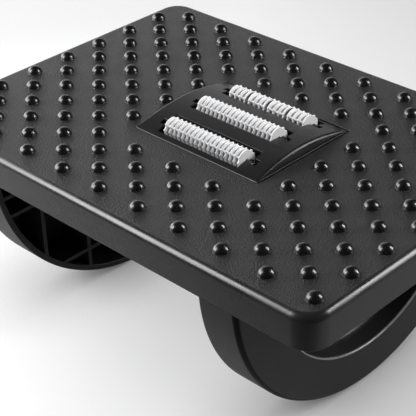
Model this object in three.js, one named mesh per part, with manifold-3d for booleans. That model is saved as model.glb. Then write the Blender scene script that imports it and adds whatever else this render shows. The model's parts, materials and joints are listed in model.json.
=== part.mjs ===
// Rocking under-desk footrest: a studded foot board on two half-round rockers,
// with three free-spinning ribbed rollers in a cassette let into the board.
// Millimetres. X runs along the board, Y from its front to its back, Z up from the floor.
import * as THREE from "three";
import { mergeVertices } from "three/addons/utils/BufferGeometryUtils.js";
import Module from "manifold-3d";

const wasm = await Module();
wasm.setup();

// Fits
const SEAT_GAP = 0.3; // air between pieces that rest on each other
const SEAM_GAP = 0.4; // visible seam round the roller cover
const CUT_OVERRUN = 1; // how far a cut runs past the face it opens

// Foot board
const BOARD_LENGTH = 450;
const BOARD_DEPTH = 320;
const BOARD_HEIGHT = 29.5; // from the skirt's lower edge to the flat of the top
const BOARD_SKIRT_WALL = 3;
const BOARD_TOP_WALL = 3;
const BOARD_CORNER_RADIUS = 20;
const BOARD_EDGE_RADIUS = 4; // rounding between the top and the skirt
const BOARD_RIB_WALL = 2;
const BOARD_RIB_DEPTH = 16; // below the top wall

// Studs on the board, in staggered rows
const STUD_PITCH_X = 43.74; // between studs of one row
const STUD_PITCH_Y = 39.14; // between studs of one column
const STUD_RADIUS = 6.2;
const STUD_HEIGHT = 5.8;
const STUD_EDGE_MARGIN = 16; // least distance from a stud's centre to the board's edge
const STUD_COVER_MARGIN = 2.5; // least distance from a stud to the roller cover

// Rockers. The rolling radius is half of the board's depth, so the rocker ends flush with the skirt.
const ROCKER_HEIGHT = 149.2; // from the floor to the rocker's flat top
const ROCKER_WIDTH = 37;
const ROCKER_INSET = 69.5; // from the board's end to the rocker's outer face
const ROCKER_RIM_WALL = 5.5;
const ROCKER_FACE_WALL = 3.5;
const ROCKER_TOP_WALL = 4;
const ROCKER_EDGE = 3; // bevel between the rolling surface and the outer face
const ROCKER_RIB_WALL = 4;
const ROCKER_RIB_START = 16.5; // from the rocker's middle to its first upright rib
const ROCKER_RIB_PITCH = 48.5;
const ARCH_FLOOR = 36.5; // height of the outer face's band under the arch
const ARCH_DEPTH = 22; // how far the arch is sunk into the outer face

// Screw tabs on each rocker's inner edge
const TAB_REACH = 14;
const TAB_WIDTH = 16;
const BOSS_RADIUS = 5.5;

// Roller cassette
const COVER_LENGTH = 137.5;
const COVER_DEPTH = 111;
const COVER_RISE = 9.2; // crown of the arched cover above the board
const COVER_WALL = 2.2;
const COVER_CORNER_RADIUS = 3;
const COVER_OFFSET_X = 7.7; // from the board's middle to the cover's
const COVER_OFFSET_Y = 4.9;
const ROLLER_PITCH = 38.6; // between neighbouring axles
const AXLE_DROP = 3.1; // from the cover's surface down to the axle's middle
const AXLE_RADIUS = 1.8;
const AXLE_OVERHANG = 5; // beyond the saddle, inside the notch
const SADDLE_THICKNESS = 3; // along the axle
const SADDLE_WIDTH = 9;
const SADDLE_CREST = 1; // how far the saddle's lips reach above the axle's middle
const SADDLE_MOUTH = 3.2; // snap opening between the lips
const SLOT_MARGIN = 0.9; // air in front of and behind a roller
const SLOT_END_ROOM = 6; // from a roller's end to the end of its slot, round the saddle
const NOTCH_WIDTH = 6.2; // narrow end of a slot, round the end of the axle
const NOTCH_LENGTH = 6;
const TRAY_WALL = 2;
const TRAY_FLANGE = 6; // how far the tray's flange reaches under the board
const TRAY_CLEARANCE = 2; // air under the rollers and round the tray
const EAR_WIDTH = 14; // square ears that carry the tray's screws

// Rollers
const ROLLER_RADIUS = 10.4;
const ROLLER_CORE_RADIUS = 7.8;
const ROLLER_BORE_GAP = 0.2; // air between a turning sleeve and its axle
const ROLLER_LENGTH = 84.5;
const ROLLER_END_PLAY = 0.5;
const RIB_TIP_WIDTH = 2;
const ROLLER_GROUP_GAP = 3.2; // between the four short sleeves of the rear roller

// Screws: pan-head, the same thread for rockers and tray
const SCREW_RADIUS = 2;
const SCREW_HEAD_RADIUS = 4;
const SCREW_HEAD_HEIGHT = 2.6;
const SCREW_TIP_TAPER = 2;
const ROCKER_SCREW_BITE = 18; // thread length inside the board
const TRAY_BOSS_RADIUS = 4.5;
const TRAY_BOSS_HOLE_FLOOR = 1.6; // material left over the tray screws' holes

// Shares and counts
const SHELF_HEIGHT_SHARES = [0.25, 0.74, 0.87]; // level ribs of a rocker, of its height
const TAB_PLACE_SHARES = [-0.75, -0.25, 0.25, 0.75]; // along Y, of the rolling radius
const EAR_PLACE_SHARES = [-0.3, 0.3]; // along X, of the cover's length
const LOBE_DEPTH_SHARE = 0.07; // hollows between a rib's lobes, of the roller's radius
const EDGE_TURN_SHARES = [0, 0.5, 1]; // stations of the rounded board edge, of a quarter turn
const STUD_SHOULDER_SHARE = 0.5; // the stud's facet ring, of a quarter turn
const ROLLER_RIBS = 18;
const GROUP_RIBS = 4;
const ROLLER_GROUPS = 4;
const ROCKER_FACETS = 25; // odd, so that a facet lies flat on the floor
const ARCH_FACETS = 22;
const CROWN_FACETS = 14;
const CORNER_FACETS = 4;
const SMALL_ROUND_SIDES = 8;
const ROLLER_SIDES = 12;

// Levels and places that follow from the sizes above
const rollingRadius = BOARD_DEPTH / 2;
const skirtBottom = ROCKER_HEIGHT + SEAT_GAP;
const boardTop = skirtBottom + BOARD_HEIGHT;
const boardCeiling = boardTop - BOARD_TOP_WALL;
const rockerOuterX = BOARD_LENGTH / 2 - ROCKER_INSET;
const rockerInnerX = rockerOuterX - ROCKER_WIDTH;
const archRadius = ROCKER_HEIGHT - ARCH_FLOOR;
const crownRadius = ((COVER_DEPTH / 2) ** 2 + COVER_RISE ** 2) / (2 * COVER_RISE);
const screwHoleRadius = SCREW_RADIUS + SEAT_GAP;
const rollerPlaces = [-ROLLER_PITCH, 0, ROLLER_PITCH];
const frontAxleHeight = coverHeight(ROLLER_PITCH) - AXLE_DROP;
const trayFloorTop = frontAxleHeight - ROLLER_RADIUS - TRAY_CLEARANCE;
const trayFloorBottom = trayFloorTop - TRAY_WALL;
const trayTop = boardCeiling - SEAT_GAP;
const saddleInnerX = ROLLER_LENGTH / 2 + ROLLER_END_PLAY;
const saddleOuterX = saddleInnerX + SADDLE_THICKNESS;
const slotEndX = ROLLER_LENGTH / 2 + SLOT_END_ROOM;
const notchOuterX = slotEndX + NOTCH_LENGTH;
const axleEndX = saddleOuterX + AXLE_OVERHANG;
const trayInner = new THREE.Vector2(
  notchOuterX + TRAY_CLEARANCE,
  ROLLER_PITCH + ROLLER_RADIUS + TRAY_CLEARANCE,
);
const windowHalf = new THREE.Vector2(COVER_LENGTH / 2 + SEAM_GAP, COVER_DEPTH / 2 + SEAM_GAP);
const flangeHalf = windowHalf.clone().addScalar(TRAY_FLANGE);
const earOuterY = flangeHalf.y + EAR_WIDTH;

// Materials
const boardPlastic = new THREE.MeshStandardMaterial({ color: 0x2a2a2c, roughness: 0.5, metalness: 0 });
const rockerPlastic = new THREE.MeshStandardMaterial({ color: 0x262628, roughness: 0.6, metalness: 0 });
const coverPlastic = new THREE.MeshStandardMaterial({ color: 0x303033, roughness: 0.4, metalness: 0 });
const trayPlastic = new THREE.MeshStandardMaterial({ color: 0x151516, roughness: 0.7, metalness: 0 });
const rollerPlastic = new THREE.MeshStandardMaterial({ color: 0xf1f1ee, roughness: 0.35, metalness: 0 });
const axleSteel = new THREE.MeshStandardMaterial({ color: 0xb4b6b9, roughness: 0.3, metalness: 1 });
const screwSteel = new THREE.MeshStandardMaterial({ color: 0x8f9092, roughness: 0.35, metalness: 1 });

// Height of the arched cover's outer surface, at a distance along Y from the cover's middle.
function coverHeight(y) {
  return boardTop + COVER_RISE - crownRadius + Math.sqrt(crownRadius ** 2 - y ** 2);
}

// A closed geometry as a solid that can be joined and cut, with its faces turned outwards.
function solidOf(geometry) {
  geometry.deleteAttribute("normal");
  geometry.deleteAttribute("uv");
  const merged = mergeVertices(geometry);
  const corners = merged.index.array;
  const faces = [];
  for (let i = 0; i < corners.length; i += 3) {
    const [a, b, c] = corners.slice(i, i + 3);
    if (a !== b && b !== c && c !== a) faces.push(a, b, c);
  }
  const build = (triVerts) => new wasm.Manifold(
    new wasm.Mesh({ numProp: 3, vertProperties: merged.attributes.position.array, triVerts }),
  );
  const made = build(new Uint32Array(faces));
  return made.volume() < 0 ? build(new Uint32Array(faces).reverse()) : made;
}

// A solid as a named mesh of the scene.
function meshOf(name, solid, material) {
  const { numProp, vertProperties, triVerts } = solid.getMesh();
  const geometry = new THREE.BufferGeometry();
  const points = new THREE.InterleavedBuffer(vertProperties, numProp);
  geometry.setAttribute("position", new THREE.InterleavedBufferAttribute(points, 3, 0));
  geometry.setIndex(new THREE.BufferAttribute(triVerts, 1));
  const mesh = new THREE.Mesh(geometry.toNonIndexed(), material);
  mesh.geometry.computeVertexNormals();
  mesh.name = name;
  return mesh;
}

function joined(solids) {
  return solids.reduce((all, next) => all.add(next));
}

// A block between two corners.
function block(low, high) {
  const size = high.map((value, axis) => value - low[axis]);
  const geometry = new THREE.BoxGeometry(...size);
  geometry.translate(...low.map((value, axis) => value + size[axis] / 2));
  return solidOf(geometry);
}

// The corners' distance from the middle, for a polygon whose flats lie at the given radius.
function cornerRadius(radius, sides) {
  return radius / Math.cos(Math.PI / sides);
}

// A round solid on an upright axis, from (radius, height) pairs that start and end on the axis.
function turned(profile, x, y) {
  const points = profile.map(([radius, height]) => new THREE.Vector2(radius, height));
  const geometry = new THREE.LatheGeometry(points, SMALL_ROUND_SIDES);
  geometry.rotateX(Math.PI / 2);
  geometry.translate(x, y, 0);
  return solidOf(geometry);
}

// An upright hole or boss whose flats lie at the given radius.
function upright(radius, bottom, top, x, y) {
  const corner = cornerRadius(radius, SMALL_ROUND_SIDES);
  return turned([[0, bottom], [corner, bottom], [corner, top], [0, top]], x, y);
}

// A solid through outlines that all have as many points, each at its own level.
// place turns an outline's point and its level into a point of the model.
function layered(layers, place) {
  const count = layers[0].outline.length;
  const points = layers.flatMap(({ outline, level }) => outline.map((p) => place(p.x, p.y, level)));
  const faces = [];
  for (let layer = 0; layer + 1 < layers.length; layer += 1) {
    for (let i = 0; i < count; i += 1) {
      const next = (i + 1) % count;
      const [a, b] = [layer * count + i, layer * count + next];
      faces.push(a, b, b + count, a, b + count, a + count);
    }
  }
  const last = (layers.length - 1) * count;
  THREE.ShapeUtils.triangulateShape(layers[0].outline, []).forEach(([a, b, c]) => faces.push(c, b, a));
  THREE.ShapeUtils.triangulateShape(layers.at(-1).outline, [])
    .forEach(([a, b, c]) => faces.push(last + a, last + b, last + c));
  const geometry = new THREE.BufferGeometry().setFromPoints(points);
  geometry.setIndex(faces);
  return solidOf(geometry);
}

const standing = (x, y, level) => new THREE.Vector3(x, y, level);
const sideways = (y, z, level) => new THREE.Vector3(level, y, z);

// A rectangle with round corners, about a centre.
function roundedRectangle(halfX, halfY, radius, centreX = 0, centreY = 0) {
  const outline = [];
  for (let quarter = 0; quarter < 4; quarter += 1) {
    const signX = quarter === 0 || quarter === 3 ? 1 : -1;
    const signY = quarter < 2 ? 1 : -1;
    for (let i = 0; i <= CORNER_FACETS; i += 1) {
      const angle = (quarter + i / CORNER_FACETS) * (Math.PI / 2);
      outline.push(new THREE.Vector2(
        centreX + signX * (halfX - radius) + radius * Math.cos(angle),
        centreY + signY * (halfY - radius) + radius * Math.sin(angle),
      ));
    }
  }
  return outline;
}

// A slice of a disc under a level line, as points from the left end round to the right one.
// The facets, not their corners, lie at the given radius.
function discUnder(radius, centreZ, topZ, facets) {
  const start = Math.asin(THREE.MathUtils.clamp((topZ - centreZ) / radius, -1, 1));
  const sweep = Math.PI + 2 * start;
  const corner = radius / Math.cos(sweep / facets / 2);
  return Array.from({ length: facets + 1 }, (_, i) => {
    const angle = Math.PI - start + (sweep * i) / facets;
    const atTop = i === 0 || i === facets;
    return new THREE.Vector2(
      corner * Math.cos(angle),
      atTop ? topZ : centreZ + corner * Math.sin(angle),
    );
  });
}

// Places of the screws in the board's frame
const tabPlaces = [-1, 1].flatMap((side) => TAB_PLACE_SHARES.map((share) => ({
  side,
  x: side * (rockerInnerX - TAB_REACH / 2),
  y: share * rollingRadius,
})));
const earPlaces = [-1, 1].flatMap((side) => EAR_PLACE_SHARES.map((share) => ({
  side,
  x: COVER_OFFSET_X + share * COVER_LENGTH,
  y: COVER_OFFSET_Y + side * (earOuterY - EAR_WIDTH / 2),
})));

// Foot board

function boardShell() {
  const outer = [{ level: skirtBottom, inset: 0 }].concat(EDGE_TURN_SHARES.map((share) => ({
    level: boardTop - BOARD_EDGE_RADIUS * (1 - Math.sin((share * Math.PI) / 2)),
    inset: BOARD_EDGE_RADIUS * (1 - Math.cos((share * Math.PI) / 2)),
  })));
  const outerLayers = outer.map(({ level, inset }) => ({
    level,
    outline: roundedRectangle(
      BOARD_LENGTH / 2 - inset,
      BOARD_DEPTH / 2 - inset,
      BOARD_CORNER_RADIUS - inset,
    ),
  }));
  const hollow = roundedRectangle(
    BOARD_LENGTH / 2 - BOARD_SKIRT_WALL,
    BOARD_DEPTH / 2 - BOARD_SKIRT_WALL,
    BOARD_CORNER_RADIUS - BOARD_SKIRT_WALL,
  );
  const hollowLayers = [skirtBottom - CUT_OVERRUN, boardCeiling].map((level) => ({ level, outline: hollow }));
  return layered(outerLayers, standing).subtract(layered(hollowLayers, standing));
}

// Crossed ribs under the top, left out round the roller cassette and its screws
function boardRibs() {
  const low = boardCeiling - BOARD_RIB_DEPTH;
  const high = boardCeiling + BOARD_TOP_WALL / 2;
  const reachX = BOARD_LENGTH / 2 - BOARD_SKIRT_WALL / 2;
  const reachY = BOARD_DEPTH / 2 - BOARD_SKIRT_WALL / 2;
  const half = BOARD_RIB_WALL / 2;
  const countX = Math.floor((reachX - STUD_EDGE_MARGIN) / STUD_PITCH_X + 1 / 2);
  const countY = Math.floor((reachY - STUD_EDGE_MARGIN) / STUD_PITCH_Y);
  const ribs = [];
  for (let i = -countX; i < countX; i += 1) {
    const x = (i + 1 / 2) * STUD_PITCH_X;
    ribs.push(block([x - half, -reachY, low], [x + half, reachY, high]));
  }
  for (let j = -countY; j <= countY; j += 1) {
    const y = j * STUD_PITCH_Y;
    ribs.push(block([-reachX, y - half, low], [reachX, y + half, high]));
  }
  const wellX = flangeHalf.x + TRAY_CLEARANCE;
  const wellY = earOuterY + TRAY_CLEARANCE;
  const box = (grow, top) => block(
    [COVER_OFFSET_X - wellX - grow, COVER_OFFSET_Y - wellY - grow, low],
    [COVER_OFFSET_X + wellX + grow, COVER_OFFSET_Y + wellY + grow, top],
  );
  return joined([...ribs, box(BOARD_RIB_WALL, high)]).subtract(box(0, boardCeiling));
}

function studPlaces() {
  const stepX = STUD_PITCH_X / 2;
  const stepY = STUD_PITCH_Y / 2;
  const columns = Math.floor((BOARD_LENGTH - 2 * STUD_EDGE_MARGIN) / stepX) + 1;
  const rows = Math.floor((BOARD_DEPTH - 2 * STUD_EDGE_MARGIN) / stepY) + 1;
  const clear = STUD_RADIUS + STUD_COVER_MARGIN;
  const places = [];
  for (let i = 0; i < columns; i += 1) {
    for (let j = 0; j < rows; j += 1) {
      const x = (i - (columns - 1) / 2) * stepX;
      const y = (j - (rows - 1) / 2) * stepY;
      const staggered = (i + j) % 2 === 1;
      const underCover = Math.abs(x - COVER_OFFSET_X) < COVER_LENGTH / 2 + clear
        && Math.abs(y - COVER_OFFSET_Y) < COVER_DEPTH / 2 + clear;
      if (staggered && !underCover) places.push({ x, y });
    }
  }
  return places;
}

function stud({ x, y }) {
  const turn = (STUD_SHOULDER_SHARE * Math.PI) / 2;
  const root = boardTop - BOARD_TOP_WALL / 2;
  return turned([
    [0, root],
    [STUD_RADIUS, root],
    [STUD_RADIUS, boardTop],
    [STUD_RADIUS * Math.cos(turn), boardTop + STUD_HEIGHT * Math.sin(turn)],
    [0, boardTop + STUD_HEIGHT],
  ], x, y);
}

function footBoard() {
  const rocker = tabPlaces.map(({ x, y }) => ({
    boss: upright(BOSS_RADIUS, skirtBottom, boardTop - BOARD_TOP_WALL / 2, x, y),
    hole: upright(screwHoleRadius, skirtBottom - CUT_OVERRUN, skirtBottom + ROCKER_SCREW_BITE, x, y),
  }));
  const bossFoot = trayFloorTop + SEAT_GAP;
  const tray = earPlaces.map(({ x, y }) => ({
    boss: upright(TRAY_BOSS_RADIUS, bossFoot, boardTop - BOARD_TOP_WALL / 2, x, y),
    hole: upright(screwHoleRadius, bossFoot - CUT_OVERRUN, boardTop - TRAY_BOSS_HOLE_FLOOR, x, y),
  }));
  const window = block(
    [COVER_OFFSET_X - windowHalf.x, COVER_OFFSET_Y - windowHalf.y, boardCeiling - CUT_OVERRUN],
    [COVER_OFFSET_X + windowHalf.x, COVER_OFFSET_Y + windowHalf.y, boardTop + CUT_OVERRUN],
  );
  const bosses = [...rocker, ...tray].map(({ boss }) => boss);
  const holes = [...rocker, ...tray].map(({ hole }) => hole);
  const solid = joined([boardShell(), boardRibs(), ...bosses, ...studPlaces().map(stud)]);
  return meshOf("foot_board", solid.subtract(joined([window, ...holes])), boardPlastic);
}

// Rockers, modelled with the outer face towards +X and turned round for the other end

function rockerDisc(radius, centreZ, topZ, facets, fromX, toX) {
  const outline = discUnder(radius, centreZ, topZ, facets);
  return layered([fromX, toX].map((level) => ({ level, outline })), sideways);
}

function rockerOutside() {
  const full = discUnder(rollingRadius, rollingRadius, ROCKER_HEIGHT, ROCKER_FACETS);
  const small = discUnder(rollingRadius - ROCKER_EDGE, rollingRadius, ROCKER_HEIGHT, ROCKER_FACETS);
  return layered([
    { level: rockerInnerX, outline: full },
    { level: rockerOuterX - ROCKER_EDGE, outline: full },
    { level: rockerOuterX, outline: small },
  ], sideways);
}

function rockerRibs() {
  const half = ROCKER_RIB_WALL / 2;
  const outerX = rockerOuterX - ROCKER_FACE_WALL / 2;
  const ribs = [];
  for (let y = ROCKER_RIB_START; y < rollingRadius - ROCKER_RIM_WALL; y += ROCKER_RIB_PITCH) {
    [-y, y].forEach((place) => ribs.push(block(
      [rockerInnerX, place - half, 0],
      [outerX, place + half, ROCKER_HEIGHT],
    )));
  }
  SHELF_HEIGHT_SHARES.forEach((share) => {
    const z = share * ROCKER_HEIGHT;
    ribs.push(block(
      [rockerInnerX, -rollingRadius, z - half],
      [outerX, rollingRadius, z + half],
    ));
  });
  return joined(ribs);
}

function rockerTab(y) {
  const top = ROCKER_HEIGHT;
  const outline = [
    [rockerInnerX + ROCKER_RIM_WALL, y - TAB_WIDTH / 2],
    [rockerInnerX + ROCKER_RIM_WALL, y + TAB_WIDTH / 2],
    [rockerInnerX - TAB_REACH / 2, y + TAB_WIDTH / 2],
    [rockerInnerX - TAB_REACH, y + TAB_WIDTH / 4],
    [rockerInnerX - TAB_REACH, y - TAB_WIDTH / 4],
    [rockerInnerX - TAB_REACH / 2, y - TAB_WIDTH / 2],
  ].map(([x, v]) => new THREE.Vector2(x, v));
  return layered([top - ROCKER_TOP_WALL, top].map((level) => ({ level, outline })), standing);
}

function rockerSolid() {
  const underside = ROCKER_HEIGHT - ROCKER_TOP_WALL;
  const outside = rockerOutside();
  const hollow = rockerDisc(
    rollingRadius - ROCKER_RIM_WALL, rollingRadius, underside, ROCKER_FACETS,
    rockerInnerX - CUT_OVERRUN, rockerOuterX - ROCKER_FACE_WALL,
  );
  const archBack = rockerOuterX - ARCH_DEPTH;
  const archShell = rockerDisc(
    archRadius + ROCKER_FACE_WALL, ROCKER_HEIGHT, underside + ROCKER_TOP_WALL / 2, ARCH_FACETS,
    archBack - ROCKER_FACE_WALL, rockerOuterX - ROCKER_FACE_WALL / 2,
  );
  const arch = rockerDisc(
    archRadius, ROCKER_HEIGHT, underside, ARCH_FACETS, archBack, rockerOuterX + CUT_OVERRUN,
  );
  const inside = rockerRibs().add(archShell).intersect(outside);
  const shell = outside.subtract(hollow).add(inside).subtract(arch);
  const tabs = TAB_PLACE_SHARES.map((share) => rockerTab(share * rollingRadius));
  const holes = TAB_PLACE_SHARES.map((share) => upright(
    screwHoleRadius, underside - CUT_OVERRUN, ROCKER_HEIGHT + CUT_OVERRUN,
    rockerInnerX - TAB_REACH / 2, share * rollingRadius,
  ));
  return joined([shell, ...tabs]).subtract(joined(holes));
}

function rocker(name, turn) {
  const mesh = meshOf(name, rockerSolid(), rockerPlastic);
  mesh.rotation.z = turn;
  return mesh;
}

// Roller cassette: an arched cover above, a tray with snap saddles below. Modelled about its own middle.

// The cover's section along Y: upright edges under an arc.
function coverSection(halfDepth, foot, shoulder, sink) {
  const outline = [new THREE.Vector2(-halfDepth, foot), new THREE.Vector2(halfDepth, foot)];
  for (let i = 0; i <= CROWN_FACETS; i += 1) {
    const y = halfDepth - (2 * halfDepth * i) / CROWN_FACETS;
    outline.push(new THREE.Vector2(y, Math.max(coverHeight(y) - sink, shoulder)));
  }
  return outline;
}

function coverBody(halfLength, section) {
  return layered([-halfLength, halfLength].map((level) => ({ level, outline: section })), sideways);
}

function rollerCover() {
  const halfLength = COVER_LENGTH / 2;
  const halfDepth = COVER_DEPTH / 2;
  const outside = coverBody(halfLength, coverSection(halfDepth, boardCeiling, boardTop, 0));
  const footprint = roundedRectangle(halfLength, halfDepth, COVER_CORNER_RADIUS);
  const corners = layered(
    [boardCeiling - CUT_OVERRUN, boardTop + 2 * COVER_RISE].map((level) => ({ level, outline: footprint })),
    standing,
  );
  const ceiling = boardCeiling + CUT_OVERRUN;
  const inside = coverBody(
    halfLength - COVER_WALL,
    coverSection(halfDepth - COVER_WALL, boardCeiling - CUT_OVERRUN, ceiling, COVER_WALL),
  );
  const cuts = rollerPlaces.flatMap((y) => {
    const halfSlot = ROLLER_RADIUS + SLOT_MARGIN;
    const low = boardCeiling - CUT_OVERRUN;
    const high = boardTop + 2 * COVER_RISE;
    return [
      block([-slotEndX, y - halfSlot, low], [slotEndX, y + halfSlot, high]),
      block([-notchOuterX, y - NOTCH_WIDTH / 2, low], [notchOuterX, y + NOTCH_WIDTH / 2, high]),
    ];
  });
  const solid = outside.intersect(corners).subtract(inside).subtract(joined(cuts));
  return meshOf("roller_cover", solid, coverPlastic);
}

// A bar along X whose flats lie at the given radius
function bar(radius, halfLength, y, z, sides) {
  const corner = cornerRadius(radius, sides);
  const geometry = new THREE.CylinderGeometry(corner, corner, 2 * halfLength, sides);
  geometry.rotateZ(Math.PI / 2);
  geometry.translate(0, y, z);
  return solidOf(geometry);
}

function axleHeight(y) {
  return coverHeight(y) - AXLE_DROP;
}

function rollerTray() {
  const wallX = trayInner.x + TRAY_WALL;
  const wallY = trayInner.y + TRAY_WALL;
  const tub = block([-wallX, -wallY, trayFloorBottom], [wallX, wallY, trayTop]);
  const flange = block(
    [-flangeHalf.x, -flangeHalf.y, trayTop - TRAY_WALL],
    [flangeHalf.x, flangeHalf.y, trayTop],
  );
  const room = block(
    [-trayInner.x, -trayInner.y, trayFloorTop],
    [trayInner.x, trayInner.y, trayTop + CUT_OVERRUN],
  );
  const saddles = rollerPlaces.flatMap((y) => [-1, 1].map((side) => {
    const ends = [side * saddleInnerX, side * saddleOuterX].sort((a, b) => a - b);
    return block(
      [ends[0], y - SADDLE_WIDTH / 2, trayFloorBottom],
      [ends[1], y + SADDLE_WIDTH / 2, axleHeight(y) + SADDLE_CREST],
    );
  }));
  const seats = rollerPlaces.flatMap((y) => [
    bar(AXLE_RADIUS + SEAT_GAP, saddleOuterX + CUT_OVERRUN, y, axleHeight(y), ROLLER_SIDES),
    block(
      [-saddleOuterX - CUT_OVERRUN, y - SADDLE_MOUTH / 2, axleHeight(y)],
      [saddleOuterX + CUT_OVERRUN, y + SADDLE_MOUTH / 2, axleHeight(y) + SADDLE_CREST + CUT_OVERRUN],
    ),
  ]);
  const ears = earPlaces.map(({ side, x }) => {
    const centre = x - COVER_OFFSET_X;
    const reach = [side * (trayInner.y + TRAY_WALL / 2), side * earOuterY].sort((a, b) => a - b);
    return block(
      [centre - EAR_WIDTH / 2, reach[0], trayFloorBottom],
      [centre + EAR_WIDTH / 2, reach[1], trayFloorTop],
    );
  });
  const holes = earPlaces.map(({ x, y }) => upright(
    screwHoleRadius, trayFloorBottom - CUT_OVERRUN, trayFloorTop + CUT_OVERRUN,
    x - COVER_OFFSET_X, y - COVER_OFFSET_Y,
  ));
  const shell = joined([tub, flange, ...ears]).subtract(room);
  const solid = joined([shell, ...saddles]).subtract(joined([...seats, ...holes]));
  return meshOf("roller_tray", solid, trayPlastic);
}

function axle(name, y) {
  const solid = bar(AXLE_RADIUS, axleEndX, y, axleHeight(y), SMALL_ROUND_SIDES);
  return meshOf(name, solid, axleSteel);
}

// A sleeve with lobed ribs round a bore, the outermost ribs flush with its ends. Each station
// along X has a radius, and the rib tips fall back between their lobes.
function sleeve(name, length, ribs, centreX, y) {
  const pitch = (length - RIB_TIP_WIDTH) / (ribs - 1);
  const axleCorner = cornerRadius(AXLE_RADIUS, SMALL_ROUND_SIDES);
  const bore = cornerRadius(axleCorner + ROLLER_BORE_GAP, ROLLER_SIDES);
  const stations = [{ x: -length / 2, radius: bore, lobed: false }];
  for (let k = 0; k < ribs; k += 1) {
    const start = -length / 2 + k * pitch;
    const end = start + RIB_TIP_WIDTH;
    const groove = (end + start + pitch) / 2;
    stations.push({ x: start, radius: ROLLER_RADIUS, lobed: true });
    stations.push({ x: end, radius: ROLLER_RADIUS, lobed: true });
    if (k + 1 < ribs) stations.push({ x: groove, radius: ROLLER_CORE_RADIUS, lobed: false });
  }
  stations.push({ x: length / 2, radius: bore, lobed: false });
  const points = stations.flatMap(({ x, radius, lobed }) => Array.from({ length: ROLLER_SIDES }, (_, i) => {
    const angle = (2 * Math.PI * i) / ROLLER_SIDES;
    const fall = lobed && i % 2 === 1 ? LOBE_DEPTH_SHARE * ROLLER_RADIUS : 0;
    return new THREE.Vector3(x, (radius - fall) * Math.cos(angle), (radius - fall) * Math.sin(angle));
  }));
  const faces = [];
  stations.forEach((_, s) => {
    const after = (s + 1) % stations.length;
    for (let i = 0; i < ROLLER_SIDES; i += 1) {
      const next = (i + 1) % ROLLER_SIDES;
      const [a, b] = [s * ROLLER_SIDES + i, s * ROLLER_SIDES + next];
      const [c, d] = [after * ROLLER_SIDES + next, after * ROLLER_SIDES + i];
      faces.push(a, b, c, a, c, d);
    }
  });
  const geometry = new THREE.BufferGeometry().setFromPoints(points);
  geometry.setIndex(faces);
  const mesh = meshOf(name, solidOf(geometry), rollerPlastic);
  mesh.position.set(centreX, y, axleHeight(y));
  return mesh;
}

function rearSleeves(y) {
  const length = (ROLLER_LENGTH - (ROLLER_GROUPS - 1) * ROLLER_GROUP_GAP) / ROLLER_GROUPS;
  return Array.from({ length: ROLLER_GROUPS }, (_, group) => {
    const centreX = (group - (ROLLER_GROUPS - 1) / 2) * (length + ROLLER_GROUP_GAP);
    return sleeve(`rear_roller_${group + 1}`, length, GROUP_RIBS, centreX, y);
  });
}

// Screws, driven upwards: head below, thread above

function screw(name, seat, tip, x, y) {
  const headTop = seat - SEAT_GAP;
  const solid = turned([
    [0, headTop - SCREW_HEAD_HEIGHT],
    [SCREW_HEAD_RADIUS - SCREW_HEAD_HEIGHT / 2, headTop - SCREW_HEAD_HEIGHT],
    [SCREW_HEAD_RADIUS, headTop - SCREW_HEAD_HEIGHT / 2],
    [SCREW_HEAD_RADIUS, headTop],
    [SCREW_RADIUS, headTop],
    [SCREW_RADIUS, tip - SCREW_TIP_TAPER],
    [0, tip],
  ], x, y);
  return meshOf(name, solid, screwSteel);
}

function rockerScrews() {
  return tabPlaces.map(({ side, x, y }, index) => {
    const label = side < 0 ? "left" : "right";
    const number = (index % TAB_PLACE_SHARES.length) + 1;
    const tip = skirtBottom + ROCKER_SCREW_BITE - CUT_OVERRUN;
    return screw(`${label}_rocker_screw_${number}`, ROCKER_HEIGHT - ROCKER_TOP_WALL, tip, x, y);
  });
}

function trayScrews() {
  const tip = boardTop - TRAY_BOSS_HOLE_FLOOR - SEAT_GAP;
  return earPlaces.map(({ x, y }, index) => screw(`tray_screw_${index + 1}`, trayFloorBottom, tip, x, y));
}

const cassette = new THREE.Group();
cassette.position.set(COVER_OFFSET_X, COVER_OFFSET_Y, 0);
cassette.add(
  rollerCover(),
  rollerTray(),
  axle("front_axle", rollerPlaces[0]),
  axle("middle_axle", rollerPlaces[1]),
  axle("rear_axle", rollerPlaces[2]),
  sleeve("front_roller", ROLLER_LENGTH, ROLLER_RIBS, 0, rollerPlaces[0]),
  sleeve("middle_roller", ROLLER_LENGTH, ROLLER_RIBS, 0, rollerPlaces[1]),
  ...rearSleeves(rollerPlaces[2]),
);

const footrest = new THREE.Group();
footrest.add(
  footBoard(),
  rocker("right_rocker", 0),
  rocker("left_rocker", Math.PI),
  ...rockerScrews(),
  cassette,
  ...trayScrews(),
);

export default footrest;
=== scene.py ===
"""Dresses the footrest: fine shells, studs, rollers and screws, their finishes, and a studio round them."""
import json
import math

import bmesh
import bpy
from mathutils import Matrix, Vector


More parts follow.
